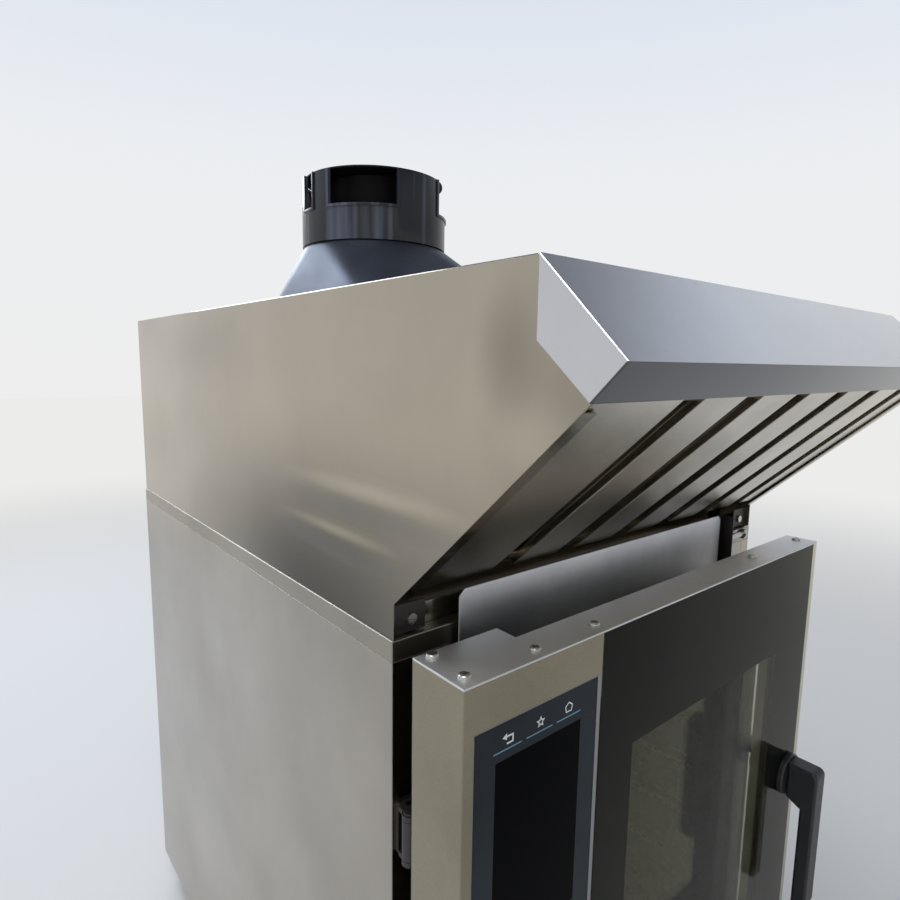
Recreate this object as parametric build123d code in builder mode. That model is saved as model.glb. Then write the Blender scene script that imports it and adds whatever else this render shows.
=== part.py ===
"""Countertop combi oven with an extraction hood and a chimney on top.

The origin is on the floor, midway between the four feet.
X runs to the right as a user sees the oven, Y runs to the back and Z runs up.
"""
import os
from math import atan2, cos, degrees, hypot, radians, sin

from build123d import *

os.makedirs("parts", exist_ok=True)

# Casing
casing_width = 535.0
casing_depth = 665.0
casing_height = 609.0
foot_height = 40.0
casing_sheet = 1.2
seam = 0.2  # gap left where two panels meet
fold_radius = 1.0  # outside of a folded edge
return_width = 18.0  # folded front and back edges of the side panels
cover_flange = 16.0  # turned-down edge of the top cover

left = -casing_width / 2
right = casing_width / 2
front = -casing_depth / 2
back = casing_depth / 2
floor_z = foot_height
top_z = foot_height + casing_height
panel_top = top_z - cover_flange - seam

# Oven cavity
cavity_left_margin = 118.0  # the service space beside the cavity
cavity_right_margin = 37.0
cavity_floor_height = 110.0  # from the casing's underside to the cavity floor
cavity_top_margin = 99.0
cavity_back_margin = 235.0  # the space for the fan's motor
cavity_wall = 1.2
cavity_corner = 20.0
jacket_thickness = 28.0
collar_depth = 16.0
collar_width = 12.0
collar_wall = 1.5

cavity_width = casing_width - cavity_left_margin - cavity_right_margin
cavity_height = casing_height - cavity_floor_height - cavity_top_margin
cavity_depth = casing_depth - cavity_back_margin
cavity_x = left + cavity_left_margin + cavity_width / 2
cavity_floor = floor_z + cavity_floor_height
cavity_z = cavity_floor + cavity_height / 2
cavity_top = cavity_floor + cavity_height
cavity_back = front + cavity_depth
liner_back = cavity_back + cavity_wall
jacket_back = liner_back + jacket_thickness
collar_front = front - collar_depth

# Door
door_projection = 78.0  # door front, ahead of the casing
box_gap = 25.0  # from the casing to the thick control box of the door
panel_gap = 45.0  # from the casing to the thin part of the door
box_width = 78.0
column_width = 139.0
door_bottom_gap = 35.0
door_top_drop = 2.0
door_sheet = 1.2
plate_thickness = 1.5
outer_glass_thickness = 5.0
inner_glass_thickness = 5.0
inner_glass_overlap = 14.0  # inner glass beyond the cavity mouth
frame_bar = 45.0
glass_seat = 0.3

door_front = front - door_projection
box_back = front - box_gap
door_back = front - panel_gap
door_bottom = floor_z + door_bottom_gap
door_top = top_z - door_top_drop
column_right = left + column_width

# Door gasket
gasket_base = 6.0
gasket_bulb = 8.0
gasket_width = 10.0
gasket_front = collar_front - gasket_base - gasket_bulb

# Hinge of the door
hinge_from_left = 7.0
hinge_from_front = 13.5
hinge_pin_radius = 3.5
knuckle_radius = 6.0
running_clearance = 0.05
hinge_height = 40.0
ear_thickness = 4.0
hinge_inset = 145.0  # hinge centres from the door's top and bottom

hinge_x = left + hinge_from_left
hinge_y = front - hinge_from_front
hinge_heights = (door_bottom + hinge_inset, door_top - hinge_inset)

# Handle and latch
handle_from_right = 27.0
handle_height = 330.0
handle_length = 150.0
handle_width = 24.0
spindle_radius = 6.0
hub_radius = 20.0
finger_gap = 22.0
grip_thickness = 16.0
boss_thickness = 6.0
cam_thickness = 6.0
nose_radius = 20.0

handle_x = right - handle_from_right
handle_z = floor_z + handle_height

# Display in the control column
display_from_left = 9.0
display_top_drop = 36.0
display_height = 226.0
bezel_width = 1.8
bezel_depth = 5.0
screen_width = 94.0
screen_height = 162.0

# Fan and heating
fan_radius = 120.0
fan_depth = 42.0
fan_gap = 8.0  # from the cavity's back wall
blade_count = 12
shaft_radius = 6.0
baffle_distance = 72.0
coil_radius = 150.0
coil_tube = 4.2
motor_radius = 52.0
motor_length = 84.0

# Hood
hood_height = 250.0
hood_sheet = 1.2
hood_inset = 1.5  # side panel inside the casing's side face
sill_height = 27.0
visor_reach = 183.0
visor_foot_reach = 163.0
visor_top_reach = 128.0
lip_height = 197.0
lip_foot_height = 177.0
cheek_drop = 43.0
slope_flange = 12.0

hood_top = top_z + hood_height
hood_left = left + hood_inset
hood_right = right - hood_inset
visor_a = (front - visor_top_reach, hood_top)
visor_b = (front - visor_reach, top_z + lip_height)
visor_c = (front - visor_foot_reach, top_z + lip_foot_height)
cheek_d = (front - visor_top_reach, hood_top - cheek_drop)
slope_foot = (front, top_z + sill_height)
slope_length = hypot(visor_foot_reach, lip_foot_height - sill_height)
slope_angle = degrees(atan2(lip_foot_height - sill_height, visor_foot_reach))

# Grease filter in the sloping mouth of the hood
first_gap = 88.0  # from the casing's left face
last_gap = 48.0  # from the casing's right face
gap_width = 24.0
gap_count = 6
gap_pitch = (casing_width - first_gap - last_gap - gap_width) / (gap_count - 1)
filter_depth = 14.0
filter_foot = 12.0
filter_lap = 2.0  # the filter's top end reaches this far behind the visor's lip
filter_length = slope_length + filter_lap - filter_foot
filter_edge = 12.0
filter_seat = 0.9
strip_fold = 6.0

# Chimney
chimney_from_left = 141.0
chimney_from_front = 242.0
chimney_radius = 75.0
chimney_wall = 3.0
flare_height = 62.0
flare_left = 90.0  # the flare's foot, from the chimney's axis
flare_right = 100.0
flare_front = 140.0
flare_back = 85.0
flare_corner = 30.0
neck_inset = 3.0  # from the ring's face to the windowed neck above it
ring_height = 30.0
window_sill = 34.0
window_height = 32.0
window_angle = 53.0
window_turns = (60.0, 157.0, 228.0, 322.0)
window_frame = 4.5
frame_rise = 2.0  # the window frames stand this far out of the neck

chimney_x = left + chimney_from_left
chimney_y = front + chimney_from_front

# Feet
foot_inset_x = 45.0
foot_inset_y = 60.0
foot_radius = 22.0
foot_pad = 12.0
stem_radius = 5.0
stem_reach = 12.0
base_sheet = 1.5
base_wall = 25.0


def plan(z):
    """A level plane at height z."""
    return Plane.XY.offset(z)


def facing(y):
    """An upright plane at depth y that faces the user, with X to the right and Z up."""
    return Plane(origin=(0, y, 0), x_dir=(1, 0, 0), z_dir=(0, -1, 0))


def sideways(x):
    """An upright plane at x that faces right, with Y along and Z up."""
    return Plane(origin=(x, 0, 0), x_dir=(0, 1, 0), z_dir=(1, 0, 0))


def slope_point(along, out):
    """The Y and Z of a point on the hood's sloping mouth, out being ahead of its plane."""
    turn = radians(slope_angle)
    y = slope_foot[0] - along * cos(turn) - out * sin(turn)
    z = slope_foot[1] + along * sin(turn) - out * cos(turn)
    return y, z


def slope_plane(along):
    """A plane on the sloping mouth, with X to the right, Y up the slope and Z outwards."""
    turn = radians(slope_angle)
    y, z = slope_point(along, 0)
    return Plane(origin=(0, y, z), x_dir=(1, 0, 0), z_dir=(0, -sin(turn), -cos(turn)))


def outline(*points):
    """A closed outline of straight lines, filled in the sketch being made."""
    Polygon(*points, align=None)


# Base tray that carries the feet
foot_x = casing_width / 2 - foot_inset_x
foot_y = casing_depth / 2 - foot_inset_y
drain_z = floor_z + 50
drain_y = front + cavity_depth / 2
with BuildPart() as casing_base:
    with BuildSketch(plan(floor_z)):
        Rectangle(casing_width - 2 * (casing_sheet + seam), casing_depth - 2 * (casing_sheet + seam))
    extrude(amount=base_wall)
    with BuildSketch(plan(floor_z + base_sheet)):
        inner = 2 * (casing_sheet + seam + base_sheet)
        Rectangle(casing_width - inner, casing_depth - inner)
    extrude(amount=base_wall, mode=Mode.SUBTRACT)
    with BuildSketch(plan(floor_z)):
        with GridLocations(2 * foot_x, 2 * foot_y, 2, 2):
            Circle(stem_radius)
    extrude(amount=base_sheet, mode=Mode.SUBTRACT)
    with BuildSketch(plan(floor_z)):
        with GridLocations(60, 9, 3, 8):
            SlotOverall(44, 4)
    extrude(amount=base_sheet, mode=Mode.SUBTRACT)
casing_base.part.label = "casing_base"
export_step(casing_base.part, "parts/casing_base.step")


def side_panel(outer, inwards):
    """A folded side panel; inwards is 1 for the left side and -1 for the right side."""
    with BuildPart() as panel:
        with BuildSketch(plan(floor_z)):
            outline(
                (outer, front),
                (outer + inwards * return_width, front),
                (outer + inwards * return_width, front + casing_sheet),
                (outer + inwards * casing_sheet, front + casing_sheet),
                (outer + inwards * casing_sheet, back - casing_sheet),
                (outer + inwards * return_width, back - casing_sheet),
                (outer + inwards * return_width, back),
                (outer, back),
            )
        extrude(amount=panel_top - floor_z)
        fold_edges = panel.edges().filter_by(Axis.Z).filter_by(
            lambda edge: abs(abs(edge.center().X) - right) < seam and abs(edge.center().Y) > back - seam
        )
        fillet(fold_edges, radius=fold_radius)
        tongue_foot = panel_top - cover_flange
        with BuildSketch(sideways(outer + inwards * casing_sheet)):
            with Locations((0, (tongue_foot + top_z - casing_sheet - seam) / 2)):
                Rectangle(casing_depth - 4 * casing_sheet, top_z - casing_sheet - seam - tongue_foot)
        extrude(amount=inwards * casing_sheet)
    return panel


casing_left = side_panel(left, 1)
casing_left.part.label = "casing_left"
export_step(casing_left.part, "parts/casing_left.step")
casing_right = side_panel(right, -1)
casing_right.part.label = "casing_right"
export_step(casing_right.part, "parts/casing_right.step")

# Top cover, with the hole for the steam duct
duct_radius = 24.0
duct_wall = 1.5
duct_x = cavity_x - 60
duct_y = front + 150
with BuildPart() as casing_top:
    with BuildSketch(plan(top_z)):
        Rectangle(casing_width, casing_depth)
    extrude(amount=-cover_flange)
    with BuildSketch(plan(top_z - casing_sheet)):
        Rectangle(casing_width - 2 * casing_sheet, casing_depth - 2 * casing_sheet)
    extrude(amount=-cover_flange, mode=Mode.SUBTRACT)
    with BuildSketch(plan(top_z)):
        with Locations((duct_x, duct_y)):
            Circle(duct_radius)
    extrude(amount=-casing_sheet, mode=Mode.SUBTRACT)
    cover_edges = casing_top.faces().sort_by(Axis.Z)[-1].outer_wire().edges()
    corner_edges = casing_top.edges().filter_by(Axis.Z).filter_by(
        lambda edge: abs(edge.center().X) > right - seam and abs(edge.center().Y) > back - seam
    )
    fillet(cover_edges + corner_edges, radius=fold_radius)
casing_top.part.label = "casing_top"
export_step(casing_top.part, "parts/casing_top.step")

# Back panel with its cooling slots and service holes
service_z = floor_z + 55
gland_x = left + 62
inlet_x = left + 118
gland_radius = 12.5
inlet_radius = 13.2
drain_radius = 15.0
spigot_radius = 16.0
spigot_gap = 1.0  # from the back panel to the spigot or the stub
slot_rows = 14
slot_pitch = 14.0
vent_z = top_z - 190
with BuildPart() as casing_back:
    with BuildSketch(facing(back)):
        with Locations((0, (floor_z + panel_top) / 2)):
            Rectangle(casing_width - 2 * (return_width + seam), panel_top - floor_z)
    extrude(amount=casing_sheet)
    with BuildSketch(facing(back)):
        with Locations((cavity_x, vent_z)):
            with GridLocations(95, slot_pitch, 3, slot_rows):
                SlotOverall(80, 5)
        with Locations((gland_x, service_z)):
            Circle(gland_radius)
        with Locations((inlet_x, service_z)):
            Circle(inlet_radius)
        with Locations((cavity_x, drain_z)):
            Circle(drain_radius)
    extrude(amount=casing_sheet, mode=Mode.SUBTRACT)
casing_back.part.label = "casing_back"
export_step(casing_back.part, "parts/casing_back.step")

# Front frame round the cavity mouth, with a hollow collar
liner_width = cavity_width + 2 * cavity_wall
liner_height = cavity_height + 2 * cavity_wall
liner_corner = cavity_corner + cavity_wall
with BuildPart() as front_frame:
    with BuildSketch(facing(front + casing_sheet)):
        with Locations((0, (floor_z + panel_top) / 2)):
            Rectangle(casing_width - 2 * (return_width + seam), panel_top - floor_z)
    extrude(amount=casing_sheet)
    with BuildSketch(facing(front)):
        with Locations((cavity_x, cavity_z)):
            RectangleRounded(
                liner_width + 2 * collar_width, liner_height + 2 * collar_width, liner_corner + collar_width
            )
    extrude(amount=collar_depth)
    with BuildSketch(facing(front + casing_sheet)):
        with Locations((cavity_x, cavity_z)):
            rim = collar_width - collar_wall
            RectangleRounded(liner_width + 2 * rim, liner_height + 2 * rim, liner_corner + rim)
            RectangleRounded(
                liner_width + 2 * collar_wall,
                liner_height + 2 * collar_wall,
                liner_corner + collar_wall,
                mode=Mode.SUBTRACT,
            )
    extrude(amount=casing_sheet + collar_depth - collar_wall, mode=Mode.SUBTRACT)
    with BuildSketch(facing(front + casing_sheet)):
        with Locations((cavity_x, cavity_z)):
            RectangleRounded(liner_width, liner_height, liner_corner)
    extrude(amount=casing_sheet + collar_depth, mode=Mode.SUBTRACT)
front_frame.part.label = "front_frame"
export_step(front_frame.part, "parts/front_frame.step")

# Cavity liner, one pressed box
with BuildPart() as cavity_liner:
    with BuildSketch(facing(liner_back)):
        with Locations((cavity_x, cavity_z)):
            RectangleRounded(liner_width, liner_height, liner_corner)
    extrude(amount=liner_back - collar_front)
    with BuildSketch(facing(cavity_back)):
        with Locations((cavity_x, cavity_z)):
            RectangleRounded(cavity_width, cavity_height, cavity_corner)
    extrude(amount=cavity_back - collar_front, mode=Mode.SUBTRACT)
    with BuildSketch(facing(liner_back)):
        with Locations((cavity_x, cavity_z)):
            Circle(shaft_radius + 3)
    extrude(amount=cavity_wall, mode=Mode.SUBTRACT)
    with BuildSketch(plan(cavity_floor - cavity_wall)):
        with Locations((cavity_x, drain_y)):
            Circle(drain_radius + seam)
    extrude(amount=cavity_wall, mode=Mode.SUBTRACT)
    with BuildSketch(plan(cavity_top)):
        with Locations((duct_x, duct_y)):
            Circle(duct_radius)
    extrude(amount=cavity_wall, mode=Mode.SUBTRACT)
cavity_liner.part.label = "cavity_liner"
export_step(cavity_liner.part, "parts/cavity_liner.step")

# Mineral wool jacket round the liner
with BuildPart() as insulation_jacket:
    with BuildSketch(facing(jacket_back)):
        with Locations((cavity_x, cavity_z)):
            Rectangle(liner_width + 2 * jacket_thickness, liner_height + 2 * jacket_thickness)
    extrude(amount=jacket_back - front - casing_sheet)
    with BuildSketch(facing(liner_back)):
        with Locations((cavity_x, cavity_z)):
            RectangleRounded(liner_width, liner_height, liner_corner)
    extrude(amount=liner_back - front, mode=Mode.SUBTRACT)
    with BuildSketch(facing(jacket_back)):
        with Locations((cavity_x, cavity_z)):
            Circle(shaft_radius + 3)
    extrude(amount=jacket_thickness, mode=Mode.SUBTRACT)
    with BuildSketch(plan(cavity_floor)):
        with Locations((cavity_x, drain_y)):
            Circle(drain_radius + seam)
    extrude(amount=-2 * jacket_thickness, mode=Mode.SUBTRACT)
    with BuildSketch(plan(cavity_top)):
        with Locations((duct_x, duct_y)):
            Circle(duct_radius)
    extrude(amount=2 * jacket_thickness, mode=Mode.SUBTRACT)
insulation_jacket.part.label = "insulation_jacket"
export_step(insulation_jacket.part, "parts/insulation_jacket.step")

# Door gasket on the collar
with BuildPart() as door_gasket:
    with BuildSketch(facing(collar_front)):
        with Locations((cavity_x, cavity_z)):
            RectangleRounded(
                liner_width + 2 * gasket_width, liner_height + 2 * gasket_width, liner_corner + gasket_width
            )
            RectangleRounded(liner_width, liner_height, liner_corner, mode=Mode.SUBTRACT)
    extrude(amount=gasket_base)
    bulb_inset = 2.0
    with BuildSketch(facing(collar_front - gasket_base)):
        with Locations((cavity_x, cavity_z)):
            bulb_out = gasket_width - bulb_inset
            RectangleRounded(liner_width + 2 * bulb_out, liner_height + 2 * bulb_out, liner_corner + bulb_out)
            RectangleRounded(
                liner_width + 2 * bulb_inset,
                liner_height + 2 * bulb_inset,
                liner_corner + bulb_inset,
                mode=Mode.SUBTRACT,
            )
    extrude(amount=gasket_bulb)
    chamfer(door_gasket.faces().sort_by(Axis.Y)[0].edges(), length=1.8)
door_gasket.part.label = "door_gasket"
export_step(door_gasket.part, "parts/door_gasket.step")

# Fan baffle, a folded plate in front of the fan
baffle_y = cavity_back - baffle_distance
baffle_width = cavity_width - 56
baffle_height = cavity_height - 8
baffle_sheet = 1.5
baffle_rim = 20.0
post_x = baffle_width / 2 - 30
post_z = baffle_height / 2 - 30
post_radius = 4.0
with BuildPart() as fan_baffle:
    with BuildSketch(facing(baffle_y + baffle_rim)):
        with Locations((cavity_x, cavity_z)):
            Rectangle(baffle_width, baffle_height)
    extrude(amount=baffle_rim)
    with BuildSketch(facing(baffle_y + baffle_rim)):
        with Locations((cavity_x, cavity_z)):
            Rectangle(baffle_width - 2 * baffle_sheet, baffle_height - 2 * baffle_sheet)
    extrude(amount=baffle_rim - baffle_sheet, mode=Mode.SUBTRACT)
    with BuildSketch(facing(baffle_y + baffle_sheet)):
        with Locations((cavity_x, cavity_z)):
            for ring_radius, slots in ((28, 6), (52, 10), (76, 14)):
                with PolarLocations(ring_radius, slots):
                    SlotOverall(19, 9, rotation=0)
            with GridLocations(2 * post_x, 2 * post_z, 2, 2):
                Circle(post_radius)
    extrude(amount=baffle_sheet, mode=Mode.SUBTRACT)
fan_baffle.part.label = "fan_baffle"
export_step(fan_baffle.part, "parts/fan_baffle.step")

# Fan wheel: back disc, curved blades, front ring and hub
wheel_back = cavity_back - fan_gap
disc_thickness = 2.0
blade_thickness = 1.5
hub_length = 30.0
blade_sweep = radians(18)
blade_end = 0.985 * fan_radius
blade_curve = SagittaArc(
    (0.62 * fan_radius, 0), (blade_end * cos(blade_sweep), blade_end * sin(blade_sweep)), 6
)
with BuildPart() as fan_wheel:
    with BuildSketch(facing(wheel_back)):
        with Locations((cavity_x, cavity_z)):
            Circle(fan_radius)
    extrude(amount=disc_thickness)
    with BuildSketch(facing(wheel_back)):
        with Locations((cavity_x, cavity_z)):
            Circle(3 * shaft_radius)
    extrude(amount=hub_length)
    with BuildSketch(facing(wheel_back - disc_thickness)):
        with Locations((cavity_x, cavity_z)):
            with PolarLocations(0, blade_count):
                SlotArc(blade_curve, blade_thickness)
    extrude(amount=fan_depth - 2 * disc_thickness)
    with BuildSketch(facing(wheel_back - fan_depth + disc_thickness)):
        with Locations((cavity_x, cavity_z)):
            Circle(fan_radius)
            Circle(0.74 * fan_radius, mode=Mode.SUBTRACT)
    extrude(amount=disc_thickness)
    with BuildSketch(facing(wheel_back)):
        with Locations((cavity_x, cavity_z)):
            Circle(shaft_radius)
    extrude(amount=fan_depth, mode=Mode.SUBTRACT)
fan_wheel.part.label = "fan_wheel"
export_step(fan_wheel.part, "parts/fan_wheel.step")

# Motor shaft with the nut that holds the wheel
motor_plate_thickness = 3.0
motor_front = jacket_back + motor_plate_thickness
shaft_end = motor_front + motor_length - 12
with BuildPart() as motor_shaft:
    with BuildSketch(facing(shaft_end)):
        with Locations((cavity_x, cavity_z)):
            Circle(shaft_radius)
    extrude(amount=shaft_end - wheel_back + hub_length + 8)
    with BuildSketch(facing(wheel_back - hub_length)):
        with Locations((cavity_x, cavity_z)):
            RegularPolygon(shaft_radius + 5, 6)
    extrude(amount=6)
motor_shaft.part.label = "motor_shaft"
export_step(motor_shaft.part, "parts/motor_shaft.step")

# Motor with its mounting plate behind the insulation
motor_plate_size = 280.0
motor_plate_corner = 12.0
motor_flange = 6.0
fin_count = 20
fin_margin = 14.0  # fins stop this far from the motor's ends
with BuildPart() as fan_motor:
    with BuildSketch(facing(motor_front)):
        with Locations((cavity_x, cavity_z)):
            RectangleRounded(motor_plate_size, motor_plate_size, motor_plate_corner)
            Circle(shaft_radius + 3, mode=Mode.SUBTRACT)
    extrude(amount=motor_plate_thickness)
    with BuildSketch(facing(motor_front + motor_length)):
        with Locations((cavity_x, cavity_z)):
            Circle(motor_radius)
    extrude(amount=motor_length)
    with BuildSketch(facing(motor_front + motor_flange)):
        with Locations((cavity_x, cavity_z)):
            RectangleRounded(2 * motor_radius + 16, 2 * motor_radius + 16, motor_plate_corner)
    extrude(amount=motor_flange)
    with BuildSketch(facing(motor_front + motor_length - fin_margin)):
        with Locations((cavity_x, cavity_z)):
            with PolarLocations(motor_radius, fin_count):
                Rectangle(7, 3)
    extrude(amount=motor_length - 2 * fin_margin)
    with BuildSketch(facing(shaft_end + 1)):
        with Locations((cavity_x, cavity_z)):
            Circle(shaft_radius + running_clearance)
    extrude(amount=motor_length, mode=Mode.SUBTRACT)
fan_motor.part.label = "fan_motor"
export_step(fan_motor.part, "parts/fan_motor.step")

# Heating element: three open rings with leads through the back wall
ring_count = 3
first_ring = 14.0  # from the cavity's back wall
ring_pitch = 15.0
with BuildPart() as heating_element:
    for ring in range(ring_count):
        ring_y = cavity_back - first_ring - ring_pitch * ring
        with BuildSketch(Plane(origin=(cavity_x, ring_y, cavity_z), x_dir=(0, 0, -1), z_dir=(1, 0, 0))):
            with Locations((coil_radius, 0)):
                Circle(coil_tube)
        revolve(
            axis=Axis((cavity_x, ring_y, cavity_z), (0, 1, 0)),
            revolution_arc=340 - 8 * ring,
        )
    with Locations((cavity_x, cavity_back - first_ring - ring_pitch, cavity_z - coil_radius)):
        Box(14, 42, 12)
    with Locations((cavity_x, cavity_back - 4, cavity_z - coil_radius)):
        Box(44, 8, 26)
heating_element.part.label = "heating_element"
export_step(heating_element.part, "parts/heating_element.step")

# Water pipe that sprays into the fan
spray_pipe_radius = 4.0
spray_y = cavity_back - baffle_distance + 10
spray_top = cavity_z + coil_radius + 22
spray_bend = 16.0
with BuildPart() as steam_pipe:
    with BuildLine() as spray_route:
        FilletPolyline(
            (cavity_x, cavity_back, spray_top),
            (cavity_x, spray_y, spray_top),
            (cavity_x, spray_y, cavity_z + spray_bend),
            radius=spray_bend,
        )
    with BuildSketch(facing(cavity_back)):
        with Locations((cavity_x, spray_top)):
            Circle(spray_pipe_radius)
    sweep()
steam_pipe.part.label = "steam_pipe"
export_step(steam_pipe.part, "parts/steam_pipe.step")

# Steam duct from the cavity up into the hood
duct_rise = 45.0
duct_flange = 10.0
with BuildPart() as steam_duct:
    with BuildSketch(plan(cavity_top)):
        with Locations((duct_x, duct_y)):
            Circle(duct_radius)
            Circle(duct_radius - duct_wall, mode=Mode.SUBTRACT)
    extrude(amount=top_z + duct_rise - cavity_top)
    with BuildSketch(plan(top_z)):
        with Locations((duct_x, duct_y)):
            Circle(duct_radius + duct_flange)
            Circle(duct_radius - duct_wall, mode=Mode.SUBTRACT)
    extrude(amount=2)
steam_duct.part.label = "steam_duct"
export_step(steam_duct.part, "parts/steam_duct.step")

# Drain pipe from the cavity floor to the spigot at the back, with its strainer
drain_reach = 35.0
drain_wall = 1.5
drain_bend = 28.0
strainer_rim = 9.0
drain_path = (
    (cavity_x, drain_y, cavity_floor),
    (cavity_x, drain_y, drain_z),
    (cavity_x, back + drain_reach, drain_z),
)
with BuildPart() as drain_pipe:
    with BuildLine() as drain_route:
        FilletPolyline(*drain_path, radius=drain_bend)
    with BuildSketch(plan(cavity_floor)):
        with Locations((cavity_x, drain_y)):
            Circle(drain_radius)
            Circle(drain_radius - drain_wall, mode=Mode.SUBTRACT)
    sweep()
    with BuildSketch(plan(cavity_floor)):
        with Locations((cavity_x, drain_y)):
            Circle(drain_radius + strainer_rim)
            with PolarLocations(8, 6):
                SlotOverall(9, 3, mode=Mode.SUBTRACT)
    extrude(amount=1.5)
    with BuildSketch(facing(back + drain_reach)):
        with Locations((cavity_x, drain_z)):
            Circle(spigot_radius)
            Circle(drain_radius - drain_wall, mode=Mode.SUBTRACT)
    extrude(amount=drain_reach - spigot_gap)
drain_pipe.part.label = "drain_pipe"
export_step(drain_pipe.part, "parts/drain_pipe.step")

# Studs on the cavity walls: posts for the baffle and pins for the tray racks
rack_offset = 8.0  # from the cavity wall to the rack's upright strips
strip_thickness = 2.0
strip_width = 22.0
rack_lift = 10.0
pin_radius = 4.0
pin_clearance = 0.3
rack_fronts = front + 60
rack_backs = front + 300
rail_count = 5
rail_pitch = 67.0
first_rail = cavity_floor + 45
rail_overhang = 30.0  # runner ends beyond the upright strips
rail_width = 14.0
rail_height = 12.0
rail_sheet = 1.5
hang_heights = (cavity_floor + 30, cavity_floor + cavity_height - 40)
rack_rows = [(y, z) for y in (rack_fronts, rack_backs) for z in hang_heights]
with BuildPart() as cavity_studs:
    with BuildSketch(facing(cavity_back)):
        with Locations((cavity_x, cavity_z)):
            with GridLocations(2 * post_x, 2 * post_z, 2, 2):
                Circle(post_radius + 3)
    extrude(amount=baffle_distance - baffle_sheet)
    with BuildSketch(facing(baffle_y + baffle_sheet)):
        with Locations((cavity_x, cavity_z)):
            with GridLocations(2 * post_x, 2 * post_z, 2, 2):
                Circle(post_radius)
    extrude(amount=baffle_sheet)
    with BuildSketch(facing(baffle_y)):
        with Locations((cavity_x, cavity_z)):
            with GridLocations(2 * post_x, 2 * post_z, 2, 2):
                RegularPolygon(post_radius + 3, 6)
    extrude(amount=5)
    for wall_x, inwards in ((cavity_x - cavity_width / 2, 1), (cavity_x + cavity_width / 2, -1)):
        pin_length = rack_offset + strip_thickness + 2
        with BuildSketch(sideways(wall_x)):
            with Locations(*rack_rows):
                Circle(pin_radius)
        extrude(amount=inwards * pin_length)
        with BuildSketch(sideways(wall_x + inwards * pin_length)):
            with Locations(*rack_rows):
                Circle(pin_radius + 2)
        extrude(amount=inwards * 2)
cavity_studs.part.label = "cavity_studs"
export_step(cavity_studs.part, "parts/cavity_studs.step")


def tray_rack(wall_x, inwards):
    """Two upright strips with keyhole slots and five folded runners."""
    strip_x = wall_x + inwards * rack_offset
    strip_foot = cavity_floor + 8
    strip_head = cavity_floor + cavity_height - 24
    slot_length = rack_lift + 2 * (pin_radius + pin_clearance)
    slot_rows_at = [(y, z - rack_lift / 2) for y, z in rack_rows]
    with BuildPart() as rack:
        with BuildSketch(sideways(strip_x)):
            with Locations(
                (rack_fronts, (strip_foot + strip_head) / 2), (rack_backs, (strip_foot + strip_head) / 2)
            ):
                RectangleRounded(strip_width, strip_head - strip_foot, 5)
            with Locations(*slot_rows_at):
                SlotOverall(slot_length, 2 * (pin_radius + pin_clearance), rotation=90, mode=Mode.SUBTRACT)
        extrude(amount=inwards * strip_thickness)
        for rail in range(rail_count):
            rail_z = first_rail + rail * rail_pitch
            face_x = strip_x + inwards * strip_thickness
            with BuildSketch(facing(rack_backs + rail_overhang)):
                outline(
                    (face_x, rail_z),
                    (face_x + inwards * rail_width, rail_z),
                    (face_x + inwards * rail_width, rail_z + rail_sheet),
                    (face_x + inwards * rail_sheet, rail_z + rail_sheet),
                    (face_x + inwards * rail_sheet, rail_z + rail_height),
                    (face_x, rail_z + rail_height),
                )
            extrude(amount=rack_backs - rack_fronts + 2 * rail_overhang)
    return rack


rack_left = tray_rack(cavity_x - cavity_width / 2, 1)
rack_left.part.label = "rack_left"
export_step(rack_left.part, "parts/rack_left.step")
rack_right = tray_rack(cavity_x + cavity_width / 2, -1)
rack_right.part.label = "rack_right"
export_step(rack_right.part, "parts/rack_right.step")

# Box with the power electronics in the service space
power_box_width = cavity_left_margin - 48
power_box_depth = 240.0
power_box_height = 300.0
power_box_inset = 11.0
power_box_from_front = 210.0
with BuildPart() as power_box:
    with BuildSketch(plan(floor_z + base_sheet)):
        with Locations((left + power_box_inset + power_box_width / 2, front + power_box_from_front)):
            RectangleRounded(power_box_width, power_box_depth, 4)
    extrude(amount=power_box_height)
power_box.part.label = "power_box"
export_step(power_box.part, "parts/power_box.step")

# Water inlet valve and cable gland at the back
inlet_reach = 16.0
lock_ring = 2.0
valve_nut = 8.0
valve_body_length = 46.0
with BuildPart() as water_valve:
    with BuildSketch(facing(back + inlet_reach)):
        with Locations((inlet_x, service_z)):
            Circle(inlet_radius)
    extrude(amount=inlet_reach - lock_ring - spigot_gap)
    with BuildSketch(facing(back + lock_ring + spigot_gap)):
        with Locations((inlet_x, service_z)):
            Circle(inlet_radius - 1)
    extrude(amount=lock_ring + spigot_gap)
    with BuildSketch(facing(back + lock_ring)):
        with Locations((inlet_x, service_z)):
            RegularPolygon(inlet_radius + 5, 6)
    extrude(amount=lock_ring)
    with BuildSketch(facing(back)):
        with Locations((inlet_x, service_z)):
            Circle(inlet_radius)
    extrude(amount=casing_sheet)
    with BuildSketch(facing(back - casing_sheet)):
        with Locations((inlet_x, service_z)):
            RegularPolygon(20, 6)
    extrude(amount=valve_nut)
    with BuildSketch(facing(back - casing_sheet - valve_nut)):
        with Locations((inlet_x, service_z)):
            RectangleRounded(26, 34, 5)
    extrude(amount=valve_body_length)
    with BuildSketch(facing(back + inlet_reach)):
        with Locations((inlet_x, service_z)):
            Circle(inlet_radius - 4)
    extrude(amount=12, mode=Mode.SUBTRACT)
water_valve.part.label = "water_valve"
export_step(water_valve.part, "parts/water_valve.step")

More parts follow.
